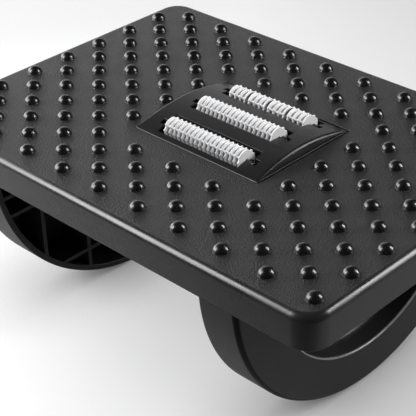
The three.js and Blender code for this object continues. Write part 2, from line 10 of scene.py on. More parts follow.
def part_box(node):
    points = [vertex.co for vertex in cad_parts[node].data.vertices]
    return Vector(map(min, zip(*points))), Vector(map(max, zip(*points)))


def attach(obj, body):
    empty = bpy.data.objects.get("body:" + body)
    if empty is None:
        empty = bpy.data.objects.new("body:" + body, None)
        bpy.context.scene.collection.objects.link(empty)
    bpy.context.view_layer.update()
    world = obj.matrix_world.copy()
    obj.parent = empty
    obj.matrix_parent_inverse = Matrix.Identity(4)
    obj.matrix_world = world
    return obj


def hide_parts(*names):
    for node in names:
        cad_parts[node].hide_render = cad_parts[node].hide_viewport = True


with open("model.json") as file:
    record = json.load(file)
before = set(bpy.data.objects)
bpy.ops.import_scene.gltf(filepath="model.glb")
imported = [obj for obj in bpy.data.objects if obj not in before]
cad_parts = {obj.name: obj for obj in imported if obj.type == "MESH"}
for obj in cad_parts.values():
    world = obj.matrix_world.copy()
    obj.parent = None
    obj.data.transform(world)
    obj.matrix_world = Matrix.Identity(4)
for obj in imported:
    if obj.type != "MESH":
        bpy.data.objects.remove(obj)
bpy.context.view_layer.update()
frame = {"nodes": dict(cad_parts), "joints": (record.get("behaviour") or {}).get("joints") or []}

bl_info = {
    "name": "Rocking Footrest",
    "version": (1, 0, 0),
    "blender": (4, 5, 0),
    "location": "View3D > Sidebar > Footrest",
    "description": "Builds the shells, studs, rollers and screws of a rocking footrest, and its studio",
    "category": "Object",
}

BASE_BODY = "footrest"

# Places that every piece takes from the frame
BOARD_LOW, BOARD_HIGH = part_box("foot_board")
COVER_LOW, COVER_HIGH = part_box("roller_cover")
TRAY_LOW, TRAY_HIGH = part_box("roller_tray")
ROCKER_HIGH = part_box("right_rocker")[1]
SLEEVE_NODES = tuple(f"rear_roller_{number}" for number in range(1, 5))
ROLLER_NODES = {
    node: node.replace("roller", "massage_roller")  # the body that it turns with
    for node in ("front_roller", "middle_roller", *SLEEVE_NODES)
}
AXLE_NODES = ("front_axle", "middle_axle", "rear_axle")
ROLLER_ROWS = tuple((low + high) / 2 for low, high in (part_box(name) for name in AXLE_NODES))
SCREW_NODES = sorted(name for name in frame["nodes"] if "screw" in name)


def length(name, description, default):
    """A size in metres that the panel shows."""
    return bpy.props.FloatProperty(
        name=name, description=description, default=default, min=0.0,
        unit="LENGTH", subtype="DISTANCE", precision=4,
    )


def angle(name, description, degrees):
    """An angle that the panel shows."""
    return bpy.props.FloatProperty(
        name=name, description=description, default=math.radians(degrees),
        subtype="ANGLE", unit="ROTATION",
    )


def shade(name, description, default):
    """A colour that the panel shows."""
    return bpy.props.FloatVectorProperty(
        name=name, description=description, default=default, size=3,
        min=0.0, max=1.0, subtype="COLOR",
    )


class FootrestBoardSettings(bpy.types.PropertyGroup):
    """Sizes of the foot board and its studs."""

    wall: length("Skirt wall", "Thickness of the skirt", 0.003)
    top_wall: length("Top wall", "Thickness of the board's top", 0.003)
    corner: length("Corner radius", "Radius of the board's corners, seen from above", 0.02)
    edge: length("Edge radius", "Rounding between the top and the skirt", 0.0065)
    rim: length("Rim radius", "Rounding of the skirt's lower rim", 0.0006)
    seam: length("Seam", "Air between the board's window and the roller cover", 0.0004)
    wide_seam: length("Wide seam", "More air on the right of the roller cover and behind it", 0.0012)
    window_rim: length("Window rim", "Rounding of the window's upper edge", 0.0003)
    rib: length("Rib wall", "Thickness of the ribs under the top", 0.002)
    rib_depth: length("Rib depth", "Height of the ribs under the top", 0.016)
    boss: length("Boss radius", "Radius of the bosses that take the rocker screws", 0.0055)
    tray_boss: length("Tray boss radius", "Radius of the bosses that take the tray screws", 0.0045)
    boss_hole: length("Boss hole radius", "Radius of the screw holes in the bosses", 0.0023)
    stud_radius: length("Stud radius", "Radius of a stud at its foot", 0.0065)
    stud_height: length("Stud height", "Height of a stud above the top", 0.0058)
    stud_fillet: length("Stud fillet", "Rounding between a stud and the top", 0.0003)
    stud_pitch_x: length("Stud pitch X", "Distance between studs of one row", 0.04374)
    stud_pitch_y: length("Stud pitch Y", "Distance between studs of one column", 0.03914)
    stud_margin: length("Stud margin", "Least distance from a stud to the board's edge", 0.016)
    stud_clear: length("Stud clearance", "Least distance from a stud to the roller cover", 0.0025)


class FootrestRockerSettings(bpy.types.PropertyGroup):
    """Sizes of the two rockers."""

    width: length("Width", "Width of the rocker without its screw tabs", 0.037)
    rim_wall: length("Rim wall", "Thickness under the rolling surface", 0.0055)
    face_wall: length("Face wall", "Thickness of the outer face", 0.0035)
    top_wall: length("Top wall", "Thickness of the flat top", 0.004)
    edge: length("Outer edge", "Rounding between the rolling surface and the outer face", 0.0042)
    soft: length("Soft edge", "Rounding of the other edges", 0.0008)
    arch_floor: length("Arch floor", "Height of the outer band under the arch", 0.0365)
    arch_depth: length("Arch depth", "How far the arch is sunk into the outer face", 0.022)
    arch_hollow: length("Arch hollow", "Rounding between the arch's wall and its back", 0.008)
    rib: length("Rib wall", "Thickness of the ribs on the open side", 0.004)
    rib_start: length("First rib", "Distance of the first upright rib from the middle", 0.0165)
    rib_pitch: length("Rib pitch", "Distance between the upright ribs", 0.0485)
    tab_reach: length("Tab reach", "How far a screw tab stands out", 0.014)
    tab_width: length("Tab width", "Width of a screw tab", 0.016)


class FootrestCassetteSettings(bpy.types.PropertyGroup):
    """Sizes of the roller cover, the tray and the rollers."""

    rise: length("Cover rise", "Height of the cover's crown above the board", 0.0092)
    wall: length("Cover wall", "Thickness of the cover", 0.0022)
    corner: length("Window corner", "Rounding of the window's corners round the cover", 0.0006)
    brow: length("Arch edge", "Rounding of the cover's two arched edges", 0.0028)
    ledge: length("Ledge", "Width of the ledge at the foot of the cover's right end", 0.0007)
    ledge_height: length("Ledge height", "Height of that ledge above the board", 0.0001)
    lip: length("Front edge", "Rounding of the cover's front and back edges", 0.0011)
    soft: length("Soft edge", "Rounding of the cover's other edges", 0.0005)
    seat: length("Seat", "Air between the cover's rim and the tray's flange", 0.0003)
    slot_gap: length("Slot gap", "Air in front of a roller", 0.0009)
    slot_back: length("Slot gap behind", "Air behind a roller", 0.0022)
    slot_end: length("Slot end", "Distance from a roller's end to the end of its slot", 0.006)
    notch_width: length("Notch width", "Width of the narrow ends of a slot", 0.0062)
    notch_length: length("Notch length", "Length of the narrow ends of a slot", 0.006)
    play: length("End play", "Air between a roller's end and the saddle", 0.0005)
    saddle: length("Saddle", "Thickness of the saddle that holds an axle", 0.003)
    saddle_width: length("Saddle width", "Width of the saddle across the axle", 0.009)
    crest: length("Saddle crest", "Height of the saddle over the middle of the axle", 0.001)
    tray_wall: length("Tray wall", "Thickness of the tray", 0.002)
    flange: length("Tray flange", "How far the tray's flange reaches under the board", 0.006)
    ear: length("Ear", "Width of a screw ear", 0.014)
    core: length("Roller core", "Radius of a roller between its ribs", 0.0064)
    web: length("Roller bars", "Radius of the bars that join a roller's ribs", 0.0096)
    fin: length("Roller rib", "Thickness of a roller's rib", 0.0023)
    knuckle: length("Knuckle", "How far a rib's beads stand out", 0.0011)
    pocket: length("Pockets", "How deep the core is sunk between two ribs", 0.003)
    bar_turn: angle("Bar turn", "Angle of one of a roller's three bars from the top, at rest", -50.0)
    spacer: length("Spacer radius", "Radius of the dark rings between the short sleeves", 0.0091)
    bore: length("Roller bore", "Radius of a roller's bore", 0.00215)
    ribs: bpy.props.IntProperty(name="Ribs", description="Ribs of a long roller", default=18, min=3)
    sleeve_ribs: bpy.props.IntProperty(
        name="Sleeve ribs", description="Ribs of a short sleeve", default=4, min=1,
    )


class FootrestFinishSettings(bpy.types.PropertyGroup):
    """Colours of the finishes."""

    board: shade("Board", "Grained black plastic of the board", (0.0105, 0.0105, 0.011))
    stud: shade("Studs", "Glossy black plastic of the studs", (0.003, 0.003, 0.0033))
    rocker: shade("Rockers", "Matt black plastic of the rockers", (0.0105, 0.0105, 0.011))
    # Painted highlight: the pale colour on the rocker arches' lip.
    painted_lip_highlight: shade("Rubbed edges", "Paler plastic of the rocker arches' rubbed edges", (0.17, 0.17, 0.175))
    cover: shade("Cover", "Satin black plastic of the roller cover", (0.008, 0.008, 0.0085))
    tray: shade("Tray", "Plain black plastic of the tray", (0.008, 0.008, 0.0085))
    roller: shade("Rollers", "White plastic of the rollers", (0.87, 0.87, 0.88))
    # Painted shade: the darker white between the rollers' ribs.
    groove: shade("Grooves", "Dusty white plastic between the rollers' ribs", (0.4, 0.4, 0.41))
    axle: shade("Axles", "Blackened steel of the axles", (0.08, 0.08, 0.085))
    screw: shade("Screws", "Zinc-plated steel of the screws", (0.52, 0.53, 0.55))
    floor: shade("Floor", "Pale studio floor", (0.86, 0.86, 0.86))


class FootrestStageSettings(bpy.types.PropertyGroup):
    """Camera and light."""

    camera: bpy.props.FloatVectorProperty(
        name="Camera", description="Place of the camera", default=(0.6685, -0.6923, 0.7039),
        size=3, unit="LENGTH", subtype="TRANSLATION", precision=4,
    )
    azimuth: angle("Azimuth", "Turn of the view about the vertical", 45.233)
    elevation: angle("Elevation", "Angle of the view above the horizon", 32.058)
    roll: angle("Roll", "Tilt of the picture's right side downwards", 2.003)
    lens: bpy.props.FloatProperty(
        name="Lens", description="Focal length in millimetres on a 36 mm wide picture",
        default=113.6, min=1.0, subtype="DISTANCE_CAMERA",
    )


# Geometry helpers

SAME_PLACE = 1e-7  # metres within which two points are one
DIGITS = 7  # decimals of a metre that tell two heights apart
GRID_STEP = 1e-6  # least step between two grid lines, in metres


def board_top():
    """Height of the flat of the board's top."""
    return BOARD_HIGH.z - bpy.context.scene.footrest_board.stud_height


def cassette_sizes():
    """The cassette's sizes, which the board's window and bosses follow."""
    return bpy.context.scene.footrest_cassette


def place_of(node):
    """Middle of a node's box, seen from above."""
    low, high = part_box(node)
    return (low.x + high.x) / 2, (low.y + high.y) / 2


def quarter_turn(steps):
    """Sines and cosines of a quarter turn in even steps, both ends included."""
    angles = [step / steps * math.pi / 2 for step in range(steps + 1)]
    return [(math.sin(angle), math.cos(angle)) for angle in angles]


def eased(share):
    """A share between 0 and 1 with a soft start and end."""
    share = min(max(share, 0.0), 1.0)
    return share * share * (3 - 2 * share)


def rounded(corners, steps):
    """A closed outline with its corners rounded: (x, y, radius, tag) in, (x, y, tag) points out."""
    outline = []
    for index, (x, y, radius, tag) in enumerate(corners):
        here = Vector((x, y))
        if radius == 0:
            outline.append((x, y, tag))
            continue
        before = Vector(corners[index - 1][:2]) - here
        after = Vector(corners[(index + 1) % len(corners)][:2]) - here
        before.normalize()
        after.normalize()
        half = before.angle(after) / 2
        centre = here + (before + after).normalized() * (radius / math.sin(half))
        first = here + before * (radius / math.tan(half)) - centre
        last = here + after * (radius / math.tan(half)) - centre
        turn = first.angle(last)
        for step in range(steps + 1):
            part = step / steps
            arm = first * math.sin((1 - part) * turn) + last * math.sin(part * turn)
            point = centre + arm / math.sin(turn)
            outline.append((point.x, point.y, tag))
    return outline


def rounded_rectangle(half_x, half_y, radius, z, centre=(0.0, 0.0), steps=10):
    """A level rounded rectangle, anticlockwise from its +X +Y corner's start."""
    points = []
    for quarter, (side_x, side_y) in enumerate(((1, 1), (-1, 1), (-1, -1), (1, -1))):
        for step in range(steps + 1):
            angle = (quarter + step / steps) * math.pi / 2
            points.append(Vector((
                centre[0] + side_x * (half_x - radius) + radius * math.cos(angle),
                centre[1] + side_y * (half_y - radius) + radius * math.sin(angle),
                z,
            )))
    return points


def skin(bm, rings, closed=False):
    """Faces between rings of as many points, each ring closed on itself."""
    made = [[bm.verts.new(point) for point in ring] for ring in rings]
    pairs = list(zip(made, made[1:]))
    if closed:
        pairs.append((made[-1], made[0]))
    for one, other in pairs:
        for index in range(len(one)):
            after = (index + 1) % len(one)
            bm.faces.new((one[index], one[after], other[after], other[index]))
    return made


def turned(bm, profile, sides, place=(0.0, 0.0)):
    """A round solid on an upright axis, from (radius, height) points that start and end on the axis."""
    rings = []
    for radius, height in profile[1:-1]:
        rings.append([
            Vector((
                place[0] + radius * math.cos(2 * math.pi * side / sides),
                place[1] + radius * math.sin(2 * math.pi * side / sides),
                height,
            )) for side in range(sides)
        ])
    made = skin(bm, rings)
    for ring, (_, height) in ((made[0], profile[0]), (made[-1], profile[-1])):
        tip = bm.verts.new((place[0], place[1], height))
        for side in range(sides):
            bm.faces.new((tip, ring[side], ring[(side + 1) % sides]))


def columns(bm, xs, ys, span):
    """A closed solid of upright columns on a grid.

    span(x, y) gives a cell's low and high surface as functions of x and y, or None where it is open.
    """
    cells = {}
    for i in range(len(xs) - 1):
        for j in range(len(ys) - 1):
            found = span((xs[i] + xs[i + 1]) / 2, (ys[j] + ys[j + 1]) / 2)
            if found:
                cells[i, j] = found
    made = {}

    def vertex(i, j, z):
        key = (i, j, round(z, DIGITS))
        if key not in made:
            made[key] = bm.verts.new((xs[i], ys[j], z))
        return made[key]

    def between(i, j, low, high):
        """Heights at which a neighbouring surface meets an upright edge, strictly inside it."""
        near = (cells.get(cell) for cell in ((i - 1, j - 1), (i, j - 1), (i - 1, j), (i, j)))
        levels = {round(face(xs[i], ys[j]), DIGITS) for cell in near if cell for face in cell}
        return sorted(z for z in levels if round(low, DIGITS) < z < round(high, DIGITS))

    def face(points):
        ring = [point for index, point in enumerate(points) if point is not points[index - 1]]
        if len(ring) > 2:
            bm.faces.new(ring)

    def wall(p, q, low, high):
        low_p, high_p = low(xs[p[0]], ys[p[1]]), high(xs[p[0]], ys[p[1]])
        low_q, high_q = low(xs[q[0]], ys[q[1]]), high(xs[q[0]], ys[q[1]])
        face(
            [vertex(*p, low_p), vertex(*q, low_q)]
            + [vertex(*q, z) for z in between(*q, low_q, high_q)]
            + [vertex(*q, high_q), vertex(*p, high_p)]
            + [vertex(*p, z) for z in reversed(between(*p, low_p, high_p))]
        )

    for (i, j), (low, high) in cells.items():
        square = ((i, j), (i + 1, j), (i + 1, j + 1), (i, j + 1))
        face([vertex(a, b, high(xs[a], ys[b])) for a, b in square])
        face([vertex(a, b, low(xs[a], ys[b])) for a, b in reversed(square)])
        for index, step in enumerate(((0, -1), (1, 0), (0, 1), (-1, 0))):
            p, q = square[index], square[(index + 1) % 4]
            other = cells.get((i + step[0], j + step[1]))
            if other is None:
                wall(p, q, low, high)
                continue
            middle = ((xs[p[0]] + xs[q[0]]) / 2, (ys[p[1]] + ys[q[1]]) / 2)
            if low(*middle) < other[0](*middle) - SAME_PLACE:
                wall(p, q, low, other[0])
            if high(*middle) > other[1](*middle) + SAME_PLACE:
                wall(p, q, other[1], high)


def grid_lines(*values):
    """Sorted grid places without doubles."""
    lines = []
    for value in sorted(values):
        if not lines or value - lines[-1] > GRID_STEP:
            lines.append(value)
    return lines


def level(height):
    """A flat surface at a height, as columns takes it."""
    return lambda x, y: height


def slab(bm, outline, low, high):
    """An upright prism on a level outline of (x, y) points."""
    bottom, top = skin(bm, [[Vector((x, y, z)) for x, y in outline] for z in (low, high)])
    bm.faces.new(bottom)
    bm.faces.new(top)


def plain_object(name, bm):
    """Turns a bmesh into an object in the scene, with its faces turned outwards."""
    bmesh.ops.recalc_face_normals(bm, faces=bm.faces)
    mesh = bpy.data.meshes.new(name)
    bm.to_mesh(mesh)
    bm.free()
    made = bpy.data.objects.new(name, mesh)
    bpy.context.scene.collection.objects.link(made)
    return made


def new_piece(name, bm, material, body, replaced=(), soft=0.0, sharp=40.0, segments=2):
    """Turns a bmesh into a smooth-shaded piece that rides on a body."""
    bmesh.ops.remove_doubles(bm, verts=bm.verts, dist=SAME_PLACE)
    piece = plain_object(name, bm)
    mesh = piece.data
    mesh.shade_smooth()
    mesh.set_sharp_from_angle(angle=math.radians(sharp))
    mesh.materials.append(material)
    if soft:
        bevel = piece.modifiers.new("Soft edges", "BEVEL")
        bevel.width = soft
        bevel.segments = segments
        bevel.limit_method = "ANGLE"
        bevel.angle_limit = math.radians(sharp)
    even = piece.modifiers.new("Even shading", "WEIGHTED_NORMAL")
    even.keep_sharp = not soft
    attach(piece, body)
    if replaced:
        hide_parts(*replaced)
    return piece


# Finishes

WORN_SHARE = 0.5  # how far a worn edge takes on its own tint
WORN_TINT = 1.6  # brightness of worn edges, of the plain colour's
CURVE_POLISH = 0.12  # roughness that curved faces lose
WEAR_POLISH = 0.03  # roughness that worn edges lose
TOOTH_SHARE = 0.5  # height of the fine tooth, of the pebbles'
FOLDS_PER_METRE = 650.0


def feed(tree, node, inputs):
    """Sets a node's inputs: another node's output is linked, any other value is stored."""
    for socket, value in inputs.items():
        if isinstance(value, bpy.types.NodeSocket):
            tree.links.new(value, node.inputs[socket])
        else:
            node.inputs[socket].default_value = value


def add_node(tree, kind, inputs=None, **settings):
    """Adds a shader node with its settings and inputs."""
    node = tree.nodes.new(f"ShaderNode{kind}")
    for name, value in settings.items():
        setattr(node, name, value)
    feed(tree, node, inputs or {})
    return node


def new_finish(name, colour, roughness, gloss=0.5, metallic=0.0):
    """A material, its node tree to add to and its shader."""
    material = bpy.data.materials.new(name)
    material.use_nodes = True
    tree = material.node_tree
    shader = tree.nodes["Principled BSDF"]
    feed(tree, shader, {
        "Base Color": (*colour, 1.0), "Roughness": roughness,
        "Metallic": metallic, "Specular IOR Level": gloss,
    })
    return material, tree, shader


def add_place(tree):
    """The place on the object, in metres from the frame's origin."""
    return add_node(tree, "TexCoord").outputs["Object"]


def add_noise(tree, scale, detail=3.0, stretch=(1.0, 1.0, 1.0)):
    """Noise at a real scale, in features per metre. Gives its factor output."""
    mapping = add_node(tree, "Mapping", {"Vector": add_place(tree), "Scale": stretch})
    return add_node(tree, "TexNoise", {
        "Vector": mapping.outputs["Vector"], "Scale": scale, "Detail": detail, "Roughness": 0.55,
    }).outputs["Fac"]


def add_cells(tree, scale):
    """Pebbles at a real scale, in cells per metre. Gives the distance from each pebble's middle."""
    return add_node(
        tree, "TexVoronoi", {"Vector": add_place(tree), "Scale": scale, "Smoothness": 0.6},
        feature="SMOOTH_F1",
    ).outputs["Distance"]


def add_range(tree, source, low, high, to_low, to_high):
    """Maps a value from one range to another."""
    return add_node(tree, "MapRange", {
        "Value": source, "From Min": low, "From Max": high, "To Min": to_low, "To Max": to_high,
    }).outputs["Result"]


def add_blend(tree, factor, one, other):
    """Mixes two colours by a factor."""
    inputs = {0: factor}
    for socket, value in ((6, one), (7, other)):
        inputs[socket] = value if isinstance(value, bpy.types.NodeSocket) else (*value, 1.0)
    return add_node(tree, "Mix", inputs, data_type="RGBA").outputs[2]


def add_math(tree, operation, one, other):
    """Combines two values."""
    return add_node(tree, "Math", {0: one, 1: other}, operation=operation).outputs[0]


def add_along(tree, source, toward):
    """How far a vector reaches along a direction."""
    dot = add_node(tree, "VectorMath", {0: source, 1: toward}, operation="DOT_PRODUCT")
    return dot.outputs["Value"]


def add_slope(tree, toward, low, high, to_low, to_high):
    """A value that changes with the place along a direction, in metres from the frame's origin."""
    return add_range(tree, add_along(tree, add_place(tree), toward), low, high, to_low, to_high)


def add_wear(tree):
    """0 on flats and in hollows, 1 on worn outer edges."""
    geometry = add_node(tree, "NewGeometry")
    edge = add_range(tree, geometry.outputs["Pointiness"], 0.505, 0.56, 0.0, 1.0)
    patches = add_range(tree, add_noise(tree, 90.0, 4.0), 0.35, 0.65, 0.35, 1.0)
    return add_math(tree, "MULTIPLY", edge, patches)


def add_flatness(tree, curved, upright):
    """1 on level faces, and smaller values on upright faces and on the curves between them."""
    parts = add_node(tree, "SeparateXYZ", {0: add_node(tree, "NewGeometry").outputs["Normal"]})
    tilt = add_math(tree, "ABSOLUTE", parts.outputs["Z"], 0.0)
    level_face = add_range(tree, tilt, 0.94, 0.995, curved, 1.0)
    upright_face = add_range(tree, tilt, 0.02, 0.12, upright, curved)
    return add_math(tree, "MAXIMUM", level_face, upright_face)


def add_seen(tree, rays):
    """1 where the camera looks, straight or through glass, and 0 elsewhere."""
    return add_math(
        tree, "MAXIMUM", rays.outputs["Is Camera Ray"], rays.outputs["Is Transmission Ray"],
    )


def add_bump(tree, shader, height, strength, distance):
    """Bump from a height, in metres of depth. Its strength is a number or another output."""
    bump = add_node(tree, "Bump", {"Strength": strength, "Distance": distance, "Height": height})
    feed(tree, shader, {"Normal": bump.outputs["Normal"]})


def add_sheen(tree, source, roughness, less, more):
    """A roughness that a noise lowers and raises."""
    return add_range(tree, source, 0.3, 0.7, roughness - less, roughness + more)


def add_tint(tree, source, colour, darker, paler, low=0.3):
    """A colour that a noise makes darker and paler, by factors."""
    share = add_range(tree, source, low, 0.7, 0.0, 1.0)
    return add_blend(tree, share, lighter(colour, darker), lighter(colour, paler))


def lighter(colour, factor):
    """A colour times a factor, kept under full white."""
    return tuple(min(1.0, channel * factor) for channel in colour)


def moulded_plastic(
    name, colour, roughness, pebbles, depth, fine,
    mottle=0.16, curved=1.0, upright=1.0, gloss=0.5, wrinkle=0.0,
):
    """Black moulded plastic: pebble grain, a fine tooth, cloudy sheen and paler, smoother edges."""
    material, tree, shader = new_finish(name, colour, roughness, gloss)
    clouds = add_noise(tree, 35.0, 4.0)
    tint = add_tint(tree, clouds, colour, 1.0 - mottle, 1.0 + mottle)
    wear = add_wear(tree)
    worn = add_math(tree, "MULTIPLY", wear, WORN_SHARE)
    flatness = add_flatness(tree, curved, upright)
    polish = add_math(tree, "MULTIPLY", add_math(tree, "SUBTRACT", 1.0, flatness), CURVE_POLISH)
    polish = add_math(tree, "ADD", polish, add_math(tree, "MULTIPLY", wear, WEAR_POLISH))
    feed(tree, shader, {
        "Base Color": add_blend(tree, worn, tint, lighter(colour, WORN_TINT)),
        "Roughness": add_math(tree, "SUBTRACT", add_sheen(tree, clouds, roughness, 0.04, 0.05), polish),
    })
    tooth = add_noise(tree, fine, 2.0)
    height = add_math(
        tree, "ADD", add_cells(tree, pebbles), add_math(tree, "MULTIPLY", tooth, TOOTH_SHARE),
    )
    if wrinkle:
        folds = add_noise(tree, FOLDS_PER_METRE, 3.0)
        height = add_math(tree, "ADD", height, add_math(tree, "MULTIPLY", folds, wrinkle))
    add_bump(tree, shader, height, flatness, depth)
    return material


def gloss_plastic(name, colour, roughness, gloss):
    """Smooth black plastic with faint flow marks."""
    material, tree, shader = new_finish(name, colour, roughness, gloss)
    clouds = add_noise(tree, 160.0, 3.0)
    feed(tree, shader, {
        "Base Color": add_tint(tree, clouds, colour, 0.85, 1.2),
        "Roughness": add_sheen(tree, clouds, roughness, 0.03, 0.05),
    })
    add_bump(tree, shader, add_noise(tree, 300.0, 2.0), 0.2, 0.00002)
    return material


def white_plastic(name, colour, roughness):
    """White moulded plastic, darker in patches in its hollows as painted shade."""
    material, tree, shader = new_finish(name, colour, roughness)
    geometry = add_node(tree, "NewGeometry")
    # Hollows darken in patches: painted shade.
    hollow = add_range(tree, geometry.outputs["Pointiness"], 0.42, 0.5, 1.0, 0.0)
    patches = add_range(tree, add_noise(tree, 220.0, 4.0), 0.3, 0.7, 0.3, 1.0)
    painted_shade = add_math(tree, "MULTIPLY", add_math(tree, "MULTIPLY", hollow, patches), 0.35)
    feed(tree, shader, {
        "Base Color": add_blend(tree, painted_shade, colour, lighter(colour, 0.62)),
        "Roughness": add_sheen(tree, add_noise(tree, 120.0), roughness, 0.05, 0.08),
    })
    add_bump(tree, shader, add_noise(tree, 1500.0, 2.0), 0.2, 0.00004)
    return material


def plain_steel(name, colour, roughness, along):
    """Steel with fine drawing or turning marks across one direction."""
    material, tree, shader = new_finish(name, colour, roughness, metallic=1.0)
    marks = add_noise(tree, 900.0, 3.0, stretch=along)
    feed(tree, shader, {
        "Base Color": add_tint(tree, add_noise(tree, 260.0, 4.0), colour, 0.8, 1.15, 0.35),
        "Roughness": add_sheen(tree, marks, roughness, 0.08, 0.12),
    })
    add_bump(tree, shader, marks, 0.3, 0.00003)
    return material


# Operators


BOSS_SIDES = 24
STUD_SIDES = 28


class FOOTREST_OT_board(bpy.types.Operator):
    """Build the foot board's shell, ribs and bosses"""

    bl_idname = "footrest.board"
    bl_label = "Foot Board"

    def execute(self, context):
        sizes = context.scene.footrest_board
        grained = moulded_plastic(
            "grained_black_plastic", context.scene.footrest_finish.board,
            roughness=0.41, pebbles=900.0, depth=0.00042, fine=2400.0,
            curved=0.0, upright=0.12, gloss=0.9, wrinkle=1.4,
        )
        self.shell(sizes, grained)
        self.ribs(sizes, grained)
        self.bosses(sizes, grained)
        return {"FINISHED"}

    def shell(self, sizes, material):
        """Skirt, top and window in one skin, as rings from the rim over the top and back inside."""
        top = board_top()
        ceiling = top - sizes.top_wall
        floor = BOARD_LOW.z
        shift = sizes.wide_seam / 2
        middle = [place + shift for place in place_of("roller_cover")]
        window_x = (COVER_HIGH.x - COVER_LOW.x) / 2 + sizes.seam + shift
        window_y = (COVER_HIGH.y - COVER_LOW.y) / 2 + sizes.seam + shift
        seam_corner = cassette_sizes().corner + sizes.seam
        rim, window_rim = sizes.rim, sizes.window_rim

        def outside(inset, z):
            return rounded_rectangle(
                BOARD_HIGH.x - inset, BOARD_HIGH.y - inset, sizes.corner - inset, z,
            )

        def window(grow, z):
            return rounded_rectangle(
                window_x + grow, window_y + grow, seam_corner + grow, z, middle,
            )

        rings = []
        for sine, cosine in quarter_turn(3):
            rings.append(outside(rim * (1 - sine), floor + rim * (1 - cosine)))
        for sine, cosine in quarter_turn(9):
            rings.append(outside(sizes.edge * (1 - cosine), top - sizes.edge * (1 - sine)))
        for sine, cosine in quarter_turn(3):
            rings.append(window(window_rim * (1 - sine), top - window_rim * (1 - cosine)))
        rings.append(window(0.0, ceiling))
        rings.append(outside(sizes.wall, ceiling))
        rings.append(outside(sizes.wall, floor + rim))
        rings.append(outside(sizes.wall - rim, floor))
        bm = bmesh.new()
        skin(bm, rings, closed=True)
        new_piece("foot_board_shell", bm, material, BASE_BODY, ["foot_board"])

    def ribs(self, sizes, material):
        """Crossed ribs under the top, left out over the tray, with a frame round it."""
        high = board_top() - sizes.top_wall
        low = high - sizes.rib_depth
        bite = sizes.top_wall / 5  # how far the ribs reach into the walls
        reach_x = BOARD_HIGH.x - sizes.wall + bite
        reach_y = BOARD_HIGH.y - sizes.wall + bite
        count_x = math.floor((reach_x - sizes.stud_margin) / sizes.stud_pitch_x + 0.5)
        count_y = math.floor((reach_y - sizes.stud_margin) / sizes.stud_pitch_y)
        places_x = [(i + 0.5) * sizes.stud_pitch_x for i in range(-count_x, count_x)]
        places_y = [j * sizes.stud_pitch_y for j in range(-count_y, count_y + 1)]
        half = sizes.rib / 2
        well_low = Vector((TRAY_LOW.x - sizes.rib, TRAY_LOW.y - sizes.rib))
        well_high = Vector((TRAY_HIGH.x + sizes.rib, TRAY_HIGH.y + sizes.rib))

        def lines(places, reach, low_wall, high_wall):
            edges = [edge for place in places for edge in (place - half, place + half)]
            walls = (low_wall - sizes.rib, low_wall, high_wall, high_wall + sizes.rib)
            return grid_lines(-reach, reach, *edges, *walls)

        def span(x, y):
            well = well_low.x < x < well_high.x and well_low.y < y < well_high.y
            frame_x = well_low.x - sizes.rib < x < well_high.x + sizes.rib
            frame_y = well_low.y - sizes.rib < y < well_high.y + sizes.rib
            on_rib = any(abs(x - place) < half for place in places_x)
            on_rib = on_rib or any(abs(y - place) < half for place in places_y)
            solid = not well and (on_rib or (frame_x and frame_y))
            return (level(low), level(high + bite)) if solid else None

        bm = bmesh.new()
        columns(
            bm,
            lines(places_x, reach_x, well_low.x, well_high.x),
            lines(places_y, reach_y, well_low.y, well_high.y),
            span,
        )
        new_piece("foot_board_ribs", bm, material, BASE_BODY, soft=0.0003, segments=1)

    def bosses(self, sizes, material):
        """A boss with a blind hole over each screw."""
        top = board_top() - sizes.top_wall / 2
        bm = bmesh.new()
        soft = sizes.rim
        for name in SCREW_NODES:
            hole_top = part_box(name)[1].z + soft
            tray_screw = name.startswith("tray")
            radius = sizes.tray_boss if tray_screw else sizes.boss
            foot = TRAY_LOW.z + cassette_sizes().tray_wall + sizes.seam if tray_screw else BOARD_LOW.z
            turned(bm, [
                (0.0, hole_top), (sizes.boss_hole, hole_top),
                (sizes.boss_hole, foot + soft / 2), (sizes.boss_hole + soft / 2, foot),
                (radius - soft, foot), (radius, foot + soft), (radius, top), (0.0, top),
            ], BOSS_SIDES, place_of(name))
        new_piece("foot_board_bosses", bm, material, BASE_BODY)


class FOOTREST_OT_studs(bpy.types.Operator):
    """Build the board's domed studs in their staggered rows"""

    bl_idname = "footrest.studs"
    bl_label = "Studs"

    def execute(self, context):
        sizes = context.scene.footrest_board
        finish = context.scene.footrest_finish
        glossy = gloss_plastic("glossy_black_plastic", finish.stud, roughness=0.27, gloss=1.0)
        top = board_top()
        fillet = sizes.stud_fillet
        foot = sizes.stud_radius + fillet
        profile = [(0.0, top - fillet), (foot, top - fillet), (foot, top)]
        profile.append((sizes.stud_radius + fillet * 0.3, top + fillet * 0.3))
        for sine, cosine in quarter_turn(9)[1:-1]:
            profile.append((sizes.stud_radius * cosine, top + sizes.stud_height * sine))
        profile.append((0.0, top + sizes.stud_height))
        bm = bmesh.new()
        for place in self.places(sizes):
            turned(bm, profile, STUD_SIDES, place)
        new_piece("foot_board_studs", bm, glossy, BASE_BODY, sharp=75.0)
        return {"FINISHED"}

    def places(self, sizes):
        """Every second point of a lattice over the board, clear of its edge and of the cover."""
        step_x, step_y = sizes.stud_pitch_x / 2, sizes.stud_pitch_y / 2
        columns_x = math.floor((BOARD_HIGH.x - sizes.stud_margin) * 2 / step_x) + 1
        rows_y = math.floor((BOARD_HIGH.y - sizes.stud_margin) * 2 / step_y) + 1
        clear = sizes.stud_radius + sizes.stud_clear
        for i in range(columns_x):
            for j in range(rows_y):
                x = (i - (columns_x - 1) / 2) * step_x
                y = (j - (rows_y - 1) / 2) * step_y
                beside_x = x < COVER_LOW.x - clear or x > COVER_HIGH.x + clear
                beside_y = y < COVER_LOW.y - clear or y > COVER_HIGH.y + clear
                if (i + j) % 2 == 1 and (beside_x or beside_y):
                    yield x, y


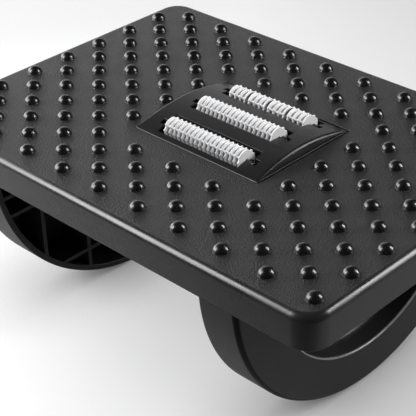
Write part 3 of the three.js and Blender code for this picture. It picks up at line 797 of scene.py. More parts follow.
ROCKER_STEPS = 120  # round half a turn
CORNER_STEPS = 5  # round a corner of the swept outline
ARCH_LIP = 2.2  # rounding of the arch's outer edge, of the soft edge's
BEVEL_SLOPES = (0.12, 0.97)  # least and greatest sideways part of a rounded edge's normal
SHELF_SHARES = (0.25, 0.74, 0.87)  # heights of the level ribs, of the rocker's height


class FOOTREST_OT_rockers(bpy.types.Operator):
    """Build both half-round rockers"""

    bl_idname = "footrest.rockers"
    bl_label = "Rockers"

    def execute(self, context):
        sizes = context.scene.footrest_rocker
        finish = context.scene.footrest_finish
        matt = moulded_plastic(
            "matt_black_plastic", finish.rocker,
            roughness=0.5, pebbles=1300.0, depth=0.00016, fine=2800.0, curved=0.1, wrinkle=1.6,
        )
        # A darker, less glossy finish on the rockers' rounded outer edges is painted shade.
        painted_edge_shade = gloss_plastic("burnished_black_plastic", finish.stud, roughness=0.4, gloss=0.12)
        # The arches' lip gets a pale finish as a painted highlight.
        painted_lip_highlight = gloss_plastic("rubbed_black_plastic", finish.painted_lip_highlight, roughness=0.3, gloss=0.8)
        for name, side in (("right_rocker", 1), ("left_rocker", -1)):
            self.shell(name, side, sizes, matt, painted_edge_shade, painted_lip_highlight)
            self.ribs(name, side, sizes, matt)
            self.flange(name, side, sizes, matt)
        return {"FINISHED"}

    def shell(self, name, side, sizes, material, painted_edge_shade, painted_lip_highlight):
        """A half-round shell: one outline swept round the board's front-to-back circle."""
        top = ROCKER_HIGH.z
        rolling = BOARD_HIGH.y
        arch = top - sizes.arch_floor
        outer_x = ROCKER_HIGH.x
        inner_x = outer_x - sizes.width
        face_x = outer_x - sizes.face_wall
        arch_x = outer_x - sizes.arch_depth
        back_x = arch_x - sizes.face_wall
        soft = sizes.soft
        lip = soft * ARCH_LIP
        inside = rolling - sizes.rim_wall
        outline = rounded([
            (inner_x, rolling, soft, "rim"),
            (outer_x, rolling, sizes.edge, "rim"),
            (outer_x, arch, lip, "arch"),
            (arch_x, arch, sizes.arch_hollow, "arch"),
            (arch_x, 0.0, 0.0, "middle"),
            (back_x, 0.0, 0.0, "middle"),
            (back_x, arch + sizes.face_wall, soft, "arch"),
            (face_x, arch + sizes.face_wall, soft, "arch"),
            (face_x, inside, soft, "rim"),
            (inner_x, inside, soft, "rim"),
        ], CORNER_STEPS)
        drop = rolling - top
        rings = []
        for step in range(ROCKER_STEPS + 1):
            angle = math.pi * (1 + step / ROCKER_STEPS)
            rim = math.sqrt(rolling ** 2 - (drop * math.cos(angle)) ** 2) + drop * math.sin(angle)
            shift = {"rim": rim - rolling, "arch": 0.0, "middle": 0.0}
            rings.append([
                Vector((
                    side * x,
                    (radius + shift[tag]) * math.cos(angle),
                    top + (radius + shift[tag]) * math.sin(angle),
                )) for x, radius, tag in outline
            ])
        bm = bmesh.new()
        made = skin(bm, rings)
        bm.faces.new(made[0])
        bm.faces.new(made[-1])
        bmesh.ops.remove_doubles(bm, verts=bm.verts, dist=SAME_PLACE)
        bmesh.ops.dissolve_degenerate(bm, edges=bm.edges, dist=SAME_PLACE)
        piece = new_piece(f"{name}_shell", bm, material, BASE_BODY, [name])
        for finish in (painted_edge_shade, painted_lip_highlight):
            piece.data.materials.append(finish)
        edge_shade_slot, lip_highlight_slot = 1, 2
        for face in piece.data.polygons:
            if not BEVEL_SLOPES[0] < abs(face.normal.x) < BEVEL_SLOPES[1]:
                continue
            beyond = abs(face.center.x) - outer_x
            reach = math.hypot(face.center.y, face.center.z - rolling)
            # Faces on the rounded outer edge take the darker finish: painted shade.
            if beyond > -sizes.edge and reach > rolling - sizes.edge * 1.1:
                face.material_index = edge_shade_slot
            # Faces on the arch's lip take the paler finish: a painted highlight.
            elif beyond > -lip and abs(math.hypot(face.center.y, face.center.z - top) - arch) < lip:
                face.material_index = lip_highlight_slot

    def ribs(self, name, side, sizes, material):
        """Plates between the rim, the face and the arch's back, with their front edges a little back."""
        top = ROCKER_HIGH.z
        rolling = BOARD_HIGH.y
        arch = top - sizes.arch_floor + sizes.face_wall / 2
        rim = rolling - sizes.rim_wall / 2
        half = sizes.rib / 2
        front_x = ROCKER_HIGH.x - sizes.width + sizes.soft
        face_x = ROCKER_HIGH.x - sizes.face_wall / 2
        back_x = ROCKER_HIGH.x - sizes.arch_depth - sizes.face_wall / 2
        underside = top - sizes.top_wall / 2
        bm = bmesh.new()

        def plate(outline, place):
            """A plate on an outline of (x, reach) points. place() gives their points on its two sides."""
            loops = [
                [bm.verts.new(place(x, reach, offset)) for x, reach in outline]
                for offset in (-half, half)
            ]
            bm.faces.new(loops[0])
            bm.faces.new(loops[1])
            for index in range(len(outline)):
                after = (index + 1) % len(outline)
                bm.faces.new((loops[0][index], loops[0][after], loops[1][after], loops[1][index]))

        y = sizes.rib_start
        while y < rim:
            foot = rolling - math.sqrt(rim ** 2 - (y + half) ** 2)
            outline = [(front_x, foot), (face_x, foot)]
            if y < arch:
                sill = top - math.sqrt(arch ** 2 - y ** 2)
                outline += [(face_x, sill), (back_x, sill), (back_x, underside), (front_x, underside)]
            else:
                outline += [(face_x, underside), (front_x, underside)]
            for hand in (-1, 1):
                plate(outline, lambda x, z, offset, at=hand * y: Vector((side * x, at + offset, z)))
            y += sizes.rib_pitch
        for share in SHELF_SHARES:
            z = share * top
            reach = math.sqrt(rim ** 2 - (rolling - z + half) ** 2)
            if top - z < arch:
                sill = math.sqrt(arch ** 2 - (top - z) ** 2)
                outline = [
                    (front_x, -reach), (face_x, -reach), (face_x, -sill), (back_x, -sill),
                    (back_x, sill), (face_x, sill), (face_x, reach), (front_x, reach),
                ]
            else:
                outline = [(front_x, -reach), (face_x, -reach), (face_x, reach), (front_x, reach)]
            outline = [(x + (sizes.soft / 2 if x == front_x else 0.0), y) for x, y in outline]
            plate(outline, lambda x, y, offset, at=z: Vector((side * x, y, at + offset)))
        new_piece(f"{name}_ribs", bm, material, BASE_BODY, soft=0.0004)

    def flange(self, name, side, sizes, material):
        """The flat top under the board, with its screw tabs."""
        high = ROCKER_HIGH.z
        low = high - sizes.top_wall
        reach = BOARD_HIGH.y - sizes.soft
        outer_x = ROCKER_HIGH.x - sizes.soft / 2
        inner_x = ROCKER_HIGH.x - sizes.width + sizes.soft / 2
        edge = sizes.edge
        outline = [
            (outer_x - edge, -reach), (outer_x, edge - reach), (outer_x, reach - edge),
            (outer_x - edge, reach), (inner_x, reach),
        ]
        wide, tip = sizes.tab_width / 2, inner_x - sizes.tab_reach
        shoulder = tip + sizes.tab_reach / 2
        screws = [place_of(node) for node in SCREW_NODES if node.startswith(name)]
        for y in sorted((y for _, y in screws), reverse=True):
            outline += [
                (inner_x, y + wide), (shoulder, y + wide), (tip, y + wide / 2),
                (tip, y - wide / 2), (shoulder, y - wide), (inner_x, y - wide),
            ]
        outline.append((inner_x, -reach))
        bm = bmesh.new()
        slab(bm, [(side * x, y) for x, y in outline], low, high - sizes.soft / 8)
        new_piece(f"{name}_flange", bm, material, BASE_BODY, soft=0.0005)


ARCH_STEPS = 32  # across the cover's arch, from front to back


class FOOTREST_OT_cassette(bpy.types.Operator):
    """Build the arched roller cover and the tray under it"""

    bl_idname = "footrest.cassette"
    bl_label = "Roller Cover and Tray"

    def execute(self, context):
        sizes = context.scene.footrest_cassette
        self.cover(context, sizes)
        self.tray(context, sizes)
        return {"FINISHED"}

    def cover(self, context, sizes):
        """The arched cover: columns whose tops follow the arch and its rounded edges."""
        satin = moulded_plastic(
            "satin_black_plastic", context.scene.footrest_finish.cover,
            roughness=0.3, pebbles=1500.0, depth=0.00003, fine=3000.0, mottle=0.1, gloss=0.42,
        )
        half_depth = (COVER_HIGH.y - COVER_LOW.y) / 2
        middle_x, middle_y = place_of("roller_cover")
        crown = COVER_HIGH.z
        radius = (half_depth ** 2 + sizes.rise ** 2) / (2 * sizes.rise)
        roller_low, roller_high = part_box("front_roller")
        roller_x, roller_y = (roller_high.x - roller_low.x) / 2, (roller_high.y - roller_low.y) / 2
        slot_x = roller_x + sizes.slot_end
        slot_front = roller_y + sizes.slot_gap
        slot_back = roller_y + sizes.slot_back
        shoulder = middle_x + roller_x + sizes.slot_gap
        notch_x, notch_y = slot_x + sizes.notch_length, sizes.notch_width / 2
        rows = [row.y for row in ROLLER_ROWS]

        openings = []  # a slot for each roller, and the notches for its axle
        for row in rows:
            openings += [
                (middle_x - slot_x, shoulder, row - slot_front, row + slot_back),
                (shoulder, middle_x + slot_x, row - notch_y, row + slot_back),
                (middle_x - notch_x, middle_x + notch_x, row - notch_y, row + notch_y),
            ]

        def arch(y):
            return crown - radius + math.sqrt(radius ** 2 - (y - middle_y) ** 2)

        def rounding(away, size):
            """How far a rounded edge falls at a distance from its side."""
            return size - math.sqrt(size ** 2 - (size - min(away, size)) ** 2)

        ledge_x = COVER_HIGH.x - sizes.ledge

        def bend(y):
            """Radius of an arched edge, which shrinks toward its two tips."""
            proud = max(0.0, arch(y) - (crown - sizes.rise))
            return max(sizes.soft, min(sizes.brow, proud * 0.5))

        def lip(y):
            return rounding(min(y - COVER_LOW.y, COVER_HIGH.y - y), sizes.lip)

        def foot(x, y):
            """The narrow ledge along the foot of the right end."""
            top = min(arch(y) - max(bend(y), lip(y)), board_top() + sizes.ledge_height)
            return top - rounding(COVER_HIGH.x - x, sizes.soft / 2)

        def deck(x, y):
            fall = max(lip(y), rounding(min(x - COVER_LOW.x, ledge_x - x), bend(y)))
            for low_x, high_x, low_y, high_y in openings:
                away = math.hypot(max(low_x - x, x - high_x, 0.0), max(low_y - y, y - high_y, 0.0))
                fall = max(fall, rounding(away, sizes.soft))
            return arch(y) - fall

        def under(x, y):
            return arch(y) - sizes.wall

        def span(x, y):
            for low_x, high_x, low_y, high_y in openings:
                if low_x < x < high_x and low_y < y < high_y:
                    return None
            at_edge = min(x - COVER_LOW.x, COVER_HIGH.x - x, y - COVER_LOW.y, COVER_HIGH.y - y)
            surface = foot if x > ledge_x else deck
            return (level(COVER_LOW.z) if at_edge < sizes.wall + sizes.ledge else under, surface)

        def steps_from(place, size, hand):
            """Grid places across a rounded edge."""
            return [place + hand * size * share for share in (0.0, 0.08, 0.3, 0.62, 1.0)]

        side_wall = sizes.wall + sizes.ledge
        xs = [COVER_LOW.x + side_wall, COVER_HIGH.x - side_wall, shoulder]
        xs += steps_from(COVER_LOW.x, sizes.brow, 1) + steps_from(ledge_x, sizes.brow, -1)
        xs += steps_from(COVER_HIGH.x, sizes.soft / 2, -1)
        for reach in (slot_x, notch_x):
            xs += steps_from(middle_x - reach, sizes.soft, -1)
            xs += steps_from(middle_x + reach, sizes.soft, 1)
        xs += steps_from(shoulder, sizes.soft, 1)
        edges = steps_from(COVER_LOW.y, sizes.lip, 1) + steps_from(COVER_HIGH.y, sizes.lip, -1)
        edges += [COVER_LOW.y + side_wall, COVER_HIGH.y - side_wall]
        for row in rows:
            for offset, hand in ((-slot_front, -1), (slot_back, 1), (-notch_y, -1), (notch_y, 1)):
                edges += steps_from(row + offset, sizes.soft, hand)
        deep = COVER_HIGH.y - COVER_LOW.y
        bends = [COVER_LOW.y + deep * step / ARCH_STEPS for step in range(1, ARCH_STEPS)]
        kept = [y for y in bends if all(abs(y - edge) > sizes.soft for edge in edges)]
        bm = bmesh.new()
        columns(bm, grid_lines(*xs), grid_lines(*edges, *kept), span)
        new_piece(
            "roller_cover_shell", bm, satin, BASE_BODY, ["roller_cover"], sharp=35.0,
        )

    def tray(self, context, sizes):
        """The tub under the cover, with its saddles, its flange and its screw ears."""
        plain = moulded_plastic(
            "plain_black_plastic", context.scene.footrest_finish.tray,
            roughness=0.5, pebbles=900.0, depth=0.00006, fine=2200.0, mottle=0.2,
        )
        middle_x, middle_y = place_of("roller_cover")
        roller_low, roller_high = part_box("front_roller")
        axle_low, axle_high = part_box("front_axle")
        roller_end = (roller_high.x - roller_low.x) / 2
        saddle_in = roller_end + sizes.play
        saddle_out = saddle_in + sizes.saddle
        saddle_half = sizes.saddle_width / 2
        top = COVER_LOW.z - sizes.seat
        seat_half = (axle_high.y - axle_low.y) / 2 + sizes.soft / 2
        flange_x = COVER_HIGH.x + sizes.flange + sizes.soft - middle_x
        flange_low = COVER_LOW.y - sizes.flange - sizes.soft
        flange_high = COVER_HIGH.y + sizes.flange + sizes.soft
        wall_x = roller_end + sizes.slot_end + sizes.notch_length + 2 * sizes.tray_wall
        room_x = wall_x - sizes.tray_wall
        room_low = roller_low.y - sizes.tray_wall
        room_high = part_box(SLEEVE_NODES[0])[1].y + sizes.tray_wall
        floor, floor_top = TRAY_LOW.z, TRAY_LOW.z + sizes.tray_wall
        ear_places = [place_of(node) for node in SCREW_NODES if node.startswith("tray")]
        bore = context.scene.footrest_board.boss_hole

        def span(x, y):
            """Saddles, the tub's floor and wall, the screw ears and the flange, in that order."""
            across = abs(x - middle_x)
            for row in ROLLER_ROWS:
                if saddle_in < across < saddle_out and abs(y - row.y) < saddle_half:
                    seat = row.z - seat_half if abs(y - row.y) < seat_half else row.z + sizes.crest
                    return level(floor), level(seat)
            if across < room_x and room_low < y < room_high:
                return level(floor), level(floor_top)
            if across < wall_x and room_low - sizes.tray_wall < y < room_high + sizes.tray_wall:
                return level(floor), level(top)
            on_flange = flange_low <= y <= flange_high
            for ear_x, ear_y in ear_places:
                if abs(x - ear_x) < bore and abs(y - ear_y) < bore:
                    return None
                beside = abs(x - ear_x) < sizes.ear / 2
                toward = beside and on_flange and (y - middle_y) * (ear_y - middle_y) > 0
                if toward or (beside and abs(y - ear_y) < sizes.ear / 2):
                    return level(floor), level(top if toward else floor_top)
            if across < flange_x and flange_low < y < flange_high:
                return level(top - sizes.tray_wall), level(top)
            return None

        ear_lines = (-sizes.ear / 2, -bore, bore, sizes.ear / 2)
        xs = [middle_x + hand * x for hand in (-1, 1) for x in (
            saddle_in, saddle_out, room_x, wall_x, flange_x,
        )]
        xs += [x + offset for x, _ in ear_places for offset in ear_lines]
        ys = [flange_low, flange_high, room_low, room_high]
        ys += [room_low - sizes.tray_wall, room_high + sizes.tray_wall]
        ys += [row.y + offset for row in ROLLER_ROWS for offset in (
            -saddle_half, -seat_half, seat_half, saddle_half,
        )]
        ys += [y + offset for _, y in ear_places for offset in ear_lines]
        bm = bmesh.new()
        columns(bm, grid_lines(*xs), grid_lines(*ys), span)
        new_piece("roller_tray_tub", bm, plain, BASE_BODY, ["roller_tray"], soft=0.0004)


ROLLER_SIDES = 120
SPACER_SIDES = 48
RIB_STEPS = 10  # over a rib, from one groove to the next
END_STEPS = 4  # round a roller's ends
RIB_POWER = 0.9  # of the sine that a rib's section follows: lower is fuller
GROOVE_SHARE = 0.45  # up to this share of the way from the core to the bars it takes the painted shade
AXLE_SIDES = 24
AXLE_FACETS = 8  # of the packed axle, whose flats the round rod stays inside
BAR_PITCH = 120.0  # degrees between a roller's three bars
BAR_SPREAD = 7.0  # degrees at which a bar has fallen off to about a third
# A rib's height along its way from one bar to the next: a long bead, a short one and a hollow
BEADS = (
    (0.0, 1.0), (58.0, 1.0), (73.0, 0.1), (80.0, 0.1),
    (91.5, 1.0), (102.0, 0.0), (112.0, 0.0), (120.0, 1.0),
)
# How deep the core is sunk between two ribs, on the same way
POCKETS = ((0.0, 0.0), (52.0, 0.0), (66.0, 1.0), (98.0, 1.0), (108.0, 0.0), (120.0, 0.0))


class FOOTREST_OT_rollers(bpy.types.Operator):
    """Build the ribbed rollers, the short sleeves and their axles"""

    bl_idname = "footrest.rollers"
    bl_label = "Rollers and Axles"

    def execute(self, context):
        sizes = context.scene.footrest_cassette
        finish = context.scene.footrest_finish
        white = white_plastic("white_plastic", finish.roller, roughness=0.45)
        # A darker white for the grooves: painted shade.
        painted_groove_shade = white_plastic("dusty_white_plastic", finish.groove, roughness=0.55)
        black = moulded_plastic(
            "black_spacer_plastic", finish.tray, roughness=0.5, pebbles=900.0, depth=0.00005, fine=2200.0,
        )
        steel = plain_steel("blackened_steel", finish.axle, roughness=0.35, along=(0.05, 1.0, 1.0))
        for node, body in ROLLER_NODES.items():
            ribs = sizes.sleeve_ribs if node in SLEEVE_NODES else sizes.ribs
            self.roller(node, body, ribs, sizes, white, painted_groove_shade)
        for node in AXLE_NODES:
            self.axle(node, steel)
        self.spacers(sizes, black)
        return {"FINISHED"}

    def course(self, shape, turn):
        """A value that runs softly through (degrees from a bar, value) points."""
        for (start, one), (end, other) in zip(shape, shape[1:]):
            if turn <= end:
                return one + (other - one) * eased((turn - start) / (end - start))
        return shape[-1][1]

    def roller(self, node, body, ribs, sizes, material, painted_groove_shade):
        """A sleeve whose rounded, beaded ribs are joined by three bars along it."""
        low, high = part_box(node)
        centre = (low + high) / 2
        centre.z = self.axis_height(node)
        half = (high.x - low.x) / 2
        tip = (high.y - low.y) / 2
        fin = sizes.fin / 2
        pitch = 2 * (half - fin) / (ribs - 1)
        end_soft = fin * 0.5
        blend = (tip - sizes.core) * 0.5

        def reach(fullness, angle):
            """Distance from the axis where a rib is as full as given (0 in a groove, 1 at its tip)."""
            turn = math.degrees(angle - sizes.bar_turn) % BAR_PITCH
            beside = min(turn, BAR_PITCH - turn)
            core = sizes.core - sizes.pocket * self.course(POCKETS, turn)
            bar = core + (sizes.web - core) * math.exp(-((beside / BAR_SPREAD) ** 2))
            rib = core + (tip - sizes.knuckle * (1 - self.course(BEADS, turn)) - core) * fullness
            overlap = max(0.0, blend - abs(rib - bar)) / blend
            return min(tip, max(rib, bar) + overlap ** 2 * blend / 4)

        def ring(x, distance):
            points = []
            for side in range(ROLLER_SIDES):
                angle = 2 * math.pi * side / ROLLER_SIDES
                arm = Vector((0.0, math.sin(angle), math.cos(angle))) * distance(angle)
                points.append(centre + Vector((x, 0.0, 0.0)) + arm)
            return points

        outside = []  # (place along the axle, fullness, inset) of each ring
        for sine, cosine in quarter_turn(END_STEPS):
            outside.append((-half + end_soft * (1 - cosine), 1.0, end_soft * (1 - sine)))
        for index in range(ribs):
            middle = -half + fin + index * pitch
            start = RIB_STEPS // 2 if index == 0 else 0
            end = RIB_STEPS // 2 if index == ribs - 1 else RIB_STEPS
            for step in range(start, end + 1):
                turn = step / RIB_STEPS * math.pi
                outside.append((middle - fin * math.cos(turn), math.sin(turn) ** RIB_POWER, 0.0))
            if index < ribs - 1:
                for step in (1, 2):
                    outside.append((middle + fin + (pitch - 2 * fin) * step / 3, 0.0, 0.0))
        outside += [(-x, fullness, inset) for x, fullness, inset in reversed(outside[:END_STEPS + 1])]
        rings = [ring(-half, lambda angle: sizes.bore)]
        for x, fullness, inset in outside:
            rings.append(ring(x, lambda angle: reach(fullness, angle) - inset))
        rings.append(ring(half, lambda angle: sizes.bore))
        bm = bmesh.new()
        skin(bm, rings, closed=True)
        piece = new_piece(f"{node}_ribbed", bm, material, body, [node], sharp=50.0)
        piece.data.materials.append(painted_groove_shade)
        # Faces deep in the grooves take the darker white: painted shade.
        groove = sizes.core + (sizes.web - sizes.core) * GROOVE_SHARE
        groove_shade_slot = 1
        for face in piece.data.polygons:
            arm = face.center - centre
            if abs(arm.x) < half - fin and math.hypot(arm.y, arm.z) < groove:
                face.material_index = groove_shade_slot

    def spacers(self, sizes, material):
        """Dark rings on the rear axle between the short sleeves."""
        sleeves = sorted((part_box(node) for node in SLEEVE_NODES), key=lambda box: box[0].x)
        height = self.axis_height(SLEEVE_NODES[0])
        middle = place_of(SLEEVE_NODES[0])[1]
        turns = [2 * math.pi * side / SPACER_SIDES for side in range(SPACER_SIDES)]
        soft = sizes.seat
        bm = bmesh.new()
        for (_, left), (right, _) in zip(sleeves, sleeves[1:]):
            low, high = left.x + sizes.seat, right.x - sizes.seat
            profile = (
                (low, sizes.bore), (low, sizes.spacer - soft), (low + soft, sizes.spacer),
                (high - soft, sizes.spacer), (high, sizes.spacer - soft), (high, sizes.bore),
            )
            rings = []
            for x, radius in profile:
                rings.append([
                    Vector((x, middle + radius * math.sin(turn), height + radius * math.cos(turn)))
                    for turn in turns
                ])
            skin(bm, rings, closed=True)
        new_piece("rear_axle_spacers", bm, material, BASE_BODY)

    def axis_height(self, node):
        """Height of the axle that a roller turns on, from the frame's joints."""
        for joint in frame["joints"]:
            if joint["child"] == ROLLER_NODES[node]:
                return joint["pos_m"][2]
        raise RuntimeError(f"{node} has no joint")

    def axle(self, node, material):
        """A round rod with chamfered ends, turned upright and then laid along X."""
        low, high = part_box(node)
        radius = (high.y - low.y) / 2 * math.cos(math.pi / AXLE_FACETS)
        soft = radius * 0.2
        centre = (low + high) / 2
        bm = bmesh.new()
        turned(bm, [
            (0.0, low.x), (radius - soft, low.x), (radius, low.x + soft),
            (radius, high.x - soft), (radius - soft, high.x), (0.0, high.x),
        ], AXLE_SIDES)
        for vertex in bm.verts:
            x, y, z = vertex.co
            vertex.co = (z, centre.y + x, centre.z + y)
        new_piece(f"{node}_rod", bm, material, BASE_BODY, [node])


SCREW_SIDES = 32
HEAD_HEIGHT = 0.65  # of the head's radius, like the next four
HEAD_FLAT = 0.55
SHANK_RADIUS = 0.5
RECESS_LENGTH = 0.5
RECESS_WIDTH = 0.11
HEAD_DOME = 0.6  # of the head's height, like the next
RECESS_DEPTH = 0.7
THREAD_PITCH = 0.4  # of the shank's radius, like the next three
THREAD_ROOT = 0.78
NECK_RADIUS = 0.8
TIP_RADIUS = 0.7
TIP_TURNS = 1.5  # length of the tip without a thread, in turns


class FOOTREST_OT_screws(bpy.types.Operator):
    """Build the pan-head screws with their cross recesses"""

    bl_idname = "footrest.screws"
    bl_label = "Screws"

    def execute(self, context):
        finish = context.scene.footrest_finish
        zinc = plain_steel("zinc_steel", finish.screw, roughness=0.3, along=(1.0, 1.0, 0.1))
        for node in SCREW_NODES:
            self.screw(node, zinc)
        return {"FINISHED"}

    def screw(self, node, material):
        """Head below, threaded shank above. The thread's crests reach the packed shank's radius."""
        low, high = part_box(node)
        place = place_of(node)
        head = (high.x - low.x) / 2
        head_height = head * HEAD_HEIGHT
        head_top = low.z + head_height
        shank = head * SHANK_RADIUS
        thread = shank * THREAD_PITCH
        profile = [(0.0, low.z)]
        for sine, cosine in quarter_turn(6):
            profile.append((
                head * (HEAD_FLAT + (1 - HEAD_FLAT) * sine),
                low.z + head_height * HEAD_DOME * (1 - cosine),
            ))
        profile += [(head, head_top), (shank * NECK_RADIUS, head_top)]
        z = head_top + thread
        while z < high.z - (TIP_TURNS + 1) * thread:
            profile += [(shank * THREAD_ROOT, z), (shank, z + thread / 2)]
            z += thread
        profile += [(shank * TIP_RADIUS, high.z - TIP_TURNS * thread), (0.0, high.z)]
        bm = bmesh.new()
        turned(bm, profile, SCREW_SIDES, place)
        solid = plain_object("screw_blank", bm)
        cutter = bmesh.new()
        wing, blade = head * RECESS_LENGTH, head * RECESS_WIDTH
        deep = low.z + head_height * RECESS_DEPTH
        corners = ((-1, -1), (1, -1), (1, 1), (-1, 1))
        for x, y in ((wing, blade), (blade, wing)):
            outline = [(place[0] + a * x, place[1] + b * y) for a, b in corners]
            slab(cutter, outline, low.z - head_height, deep)
        cross = plain_object("screw_cross", cutter)
        cut = solid.modifiers.new("Cross recess", "BOOLEAN")
        cut.operation = "DIFFERENCE"
        cut.solver = "EXACT"
        cut.use_self = True
        cut.object = cross
        bpy.context.view_layer.update()
        done = bpy.data.meshes.new_from_object(
            solid.evaluated_get(bpy.context.evaluated_depsgraph_get()),
        )
        for spare in (solid, cross):
            bpy.data.objects.remove(spare)
        result = bmesh.new()
        result.from_mesh(done)
        new_piece(f"{node}_pan_head", result, material, BASE_BODY, [node])


FLOOR_RADIUS = 4.0
GLOW_SHARE = 0.5  # of the floor, as the camera sees it
ROOM_LIGHT = 0.035  # strength of the world away from its pale wall
PICTURE_WIDTH = 36.0  # of the camera's sensor, in millimetres


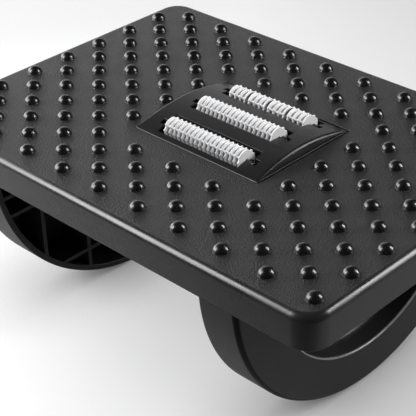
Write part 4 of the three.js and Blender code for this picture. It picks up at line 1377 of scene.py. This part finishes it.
class FOOTREST_OT_stage(bpy.types.Operator):
    """Set up the floor, the lamps, the world and the camera"""

    bl_idname = "footrest.stage"
    bl_label = "Studio"

    def execute(self, context):
        self.floor(context)
        self.lamps()
        self.world(context)
        self.camera(context)
        context.scene.view_settings.view_transform = "Standard"
        return {"FINISHED"}

    def floor(self, context):
        """A pale disc that glows where the camera sees it, with painted light that is less toward the
        picture's right and back.
        """
        bm = bmesh.new()
        bmesh.ops.create_circle(bm, cap_ends=True, segments=96, radius=FLOOR_RADIUS)
        floor = plain_object("studio_floor", bm)
        colour = context.scene.footrest_finish.floor
        material, tree, shader = new_finish("studio_floor", colour, 0.55, gloss=0.3)
        rays = add_node(tree, "LightPath")
        # Painted light: the glow is stronger toward the picture's left and front.
        painted_light_falloff = add_math(
            tree, "MINIMUM", add_slope(tree, (0.707, 0.707, 0.0), -0.25, 0.45, 1.47, 0.52),
            add_slope(tree, (-0.8, 0.6, 0.0), 0.3, 0.65, 1.6, 1.08),
        )
        # Mirror images lose this share of the floor, as painted shade in reflections: more of it in front
        # and beside the right end
        mirrored = add_math(
            tree, "MAXIMUM", add_slope(tree, (1.0, 0.0, 0.0), 0.1, 0.4, 0.34, 0.7),
            add_slope(tree, (0.35, -0.94, 0.0), 0.08, 0.4, 0.22, 0.97),
        )
        direct = add_math(tree, "SUBTRACT", 1.0, rays.outputs["Is Glossy Ray"])
        # The glow dims close to the rockers, so that the floor keeps their contact shadow
        contact = add_node(tree, "AmbientOcclusion", {"Distance": 0.08}, samples=8)
        shade = add_range(tree, contact.outputs["AO"], 0.3, 1.0, 0.12, 1.0)
        lit = add_math(tree, "MULTIPLY", add_math(tree, "MULTIPLY", painted_light_falloff, shade), direct)
        glow = add_node(tree, "Emission", {"Color": (*colour, 1.0), "Strength": lit})
        share = add_math(
            tree, "ADD", add_math(tree, "MULTIPLY", add_seen(tree, rays), GLOW_SHARE),
            add_math(tree, "MULTIPLY", mirrored, rays.outputs["Is Glossy Ray"]),
        )
        mix = add_node(tree, "MixShader", {0: share, 1: shader.outputs[0], 2: glow.outputs[0]})
        feed(tree, tree.nodes["Material Output"], {"Surface": mix.outputs[0]})
        floor.data.materials.append(material)

    def lamps(self):
        """A broad lamp and a strip on the left, one behind on the right, and soft fills."""
        aim = Vector((0.0, 0.0, 0.15))
        for name, place, size, watts, mirrored in (
            ("left_softbox", (-1.19, -0.38, 0.53), (1.0, 0.8), 10.0, True),
            ("left_strip", (-0.77, -0.98, 0.78), (0.5, 0.9), 11.5, True),
            ("rear_softbox", (0.87, 0.93, 0.74), (0.38, 0.85), 12.5, True),
            ("right_fill", (1.20, -0.35, 0.95), (0.9, 0.9), 3.7, False),
            ("top_fill", (0.0, 0.0, 1.9), (1.6, 1.6), 13.0, False),
        ):
            data = bpy.data.lights.new(name, "AREA")
            data.shape = "RECTANGLE"
            data.size, data.size_y = size
            data.energy = watts
            lamp = bpy.data.objects.new(name, data)
            lamp.location = place
            lamp.rotation_mode = "QUATERNION"
            lamp.rotation_quaternion = (aim - Vector(place)).to_track_quat("-Z", "Y")
            lamp.visible_glossy = mirrored
            bpy.context.scene.collection.objects.link(lamp)

    def world(self, context):
        """A dim room with a pale wall on the left, brightest low down. The camera sees it all pale."""
        world = bpy.data.worlds.new("studio")
        context.scene.world = world
        world.use_nodes = True
        tree = world.node_tree
        direction = add_node(tree, "TexCoord").outputs["Generated"]
        toward = add_along(tree, direction, (-0.996, 0.087, 0.0))
        parts = add_node(tree, "SeparateXYZ", {0: direction})
        height = add_math(
            tree, "ADD", add_range(tree, parts.outputs["Z"], 0.46, 0.76, 1.0, 0.0),
            add_range(tree, parts.outputs["Z"], 0.04, 0.24, 1.0, 0.0),
        )
        wall = add_math(tree, "MULTIPLY", add_range(tree, toward, 0.45, 0.8, 0.0, 0.82), height)
        room = tree.nodes["Background"]
        feed(tree, room, {
            "Color": (1.0, 1.0, 1.0, 1.0), "Strength": add_math(tree, "ADD", wall, ROOM_LIGHT),
        })
        backdrop = add_node(tree, "Background", {"Color": (0.9, 0.9, 0.9, 1.0)})
        choice = add_node(tree, "MixShader", {
            0: add_seen(tree, add_node(tree, "LightPath")), 1: room.outputs[0], 2: backdrop.outputs[0],
        })
        feed(tree, tree.nodes["World Output"], {"Surface": choice.outputs[0]})

    def camera(self, context):
        """The photograph's view: turned by the azimuth, raised by the elevation, then rolled."""
        stage = context.scene.footrest_stage
        azimuth, elevation, roll = stage.azimuth, stage.elevation, stage.roll
        right = Vector((math.cos(azimuth), math.sin(azimuth), 0.0))
        back = Vector((
            math.sin(azimuth) * math.cos(elevation), -math.cos(azimuth) * math.cos(elevation),
            math.sin(elevation),
        ))
        up = back.cross(right)
        rolled_right = right * math.cos(roll) - up * math.sin(roll)
        rolled_up = right * math.sin(roll) + up * math.cos(roll)
        data = bpy.data.cameras.new("photo_camera")
        data.sensor_width = PICTURE_WIDTH
        data.lens = stage.lens
        camera = bpy.data.objects.new("photo_camera", data)
        turn = Matrix((rolled_right, rolled_up, back)).transposed().to_4x4()
        camera.matrix_world = Matrix.Translation(Vector(stage.camera)) @ turn
        context.scene.collection.objects.link(camera)
        context.scene.camera = camera


class FOOTREST_PT_panel(bpy.types.Panel):
    """Sizes, colours and build steps of the footrest"""

    bl_idname = "FOOTREST_PT_panel"
    bl_label = "Rocking Footrest"
    bl_space_type = "VIEW_3D"
    bl_region_type = "UI"
    bl_category = "Footrest"

    def draw(self, context):
        layout = self.layout
        for operator in OPERATORS:
            layout.operator(operator.bl_idname)
        for key, group in SETTINGS.items():
            box = layout.box()
            box.label(text=group.__doc__)
            for name in group.__annotations__:
                box.prop(getattr(context.scene, key), name)


SETTINGS = {
    "footrest_board": FootrestBoardSettings,
    "footrest_rocker": FootrestRockerSettings,
    "footrest_cassette": FootrestCassetteSettings,
    "footrest_finish": FootrestFinishSettings,
    "footrest_stage": FootrestStageSettings,
}
OPERATORS = (
    FOOTREST_OT_stage,
    FOOTREST_OT_board,
    FOOTREST_OT_studs,
    FOOTREST_OT_rockers,
    FOOTREST_OT_cassette,
    FOOTREST_OT_rollers,
    FOOTREST_OT_screws,
)


def register():
    """Makes the settings, operators and panel known."""
    for group in (*SETTINGS.values(), *OPERATORS, FOOTREST_PT_panel):
        bpy.utils.register_class(group)
    for key, group in SETTINGS.items():
        setattr(bpy.types.Scene, key, bpy.props.PointerProperty(type=group))


def unregister():
    """Takes them away again."""
    for key in SETTINGS:
        delattr(bpy.types.Scene, key)
    for group in (FOOTREST_PT_panel, *reversed(OPERATORS), *SETTINGS.values()):
        bpy.utils.unregister_class(group)


def main():
    """Registers the add-on and builds everything."""
    register()
    bpy.ops.footrest.stage()
    bpy.ops.footrest.board()
    bpy.ops.footrest.studs()
    bpy.ops.footrest.rockers()
    bpy.ops.footrest.cassette()
    bpy.ops.footrest.rollers()
    bpy.ops.footrest.screws()


if __name__ == "__main__":
    main()
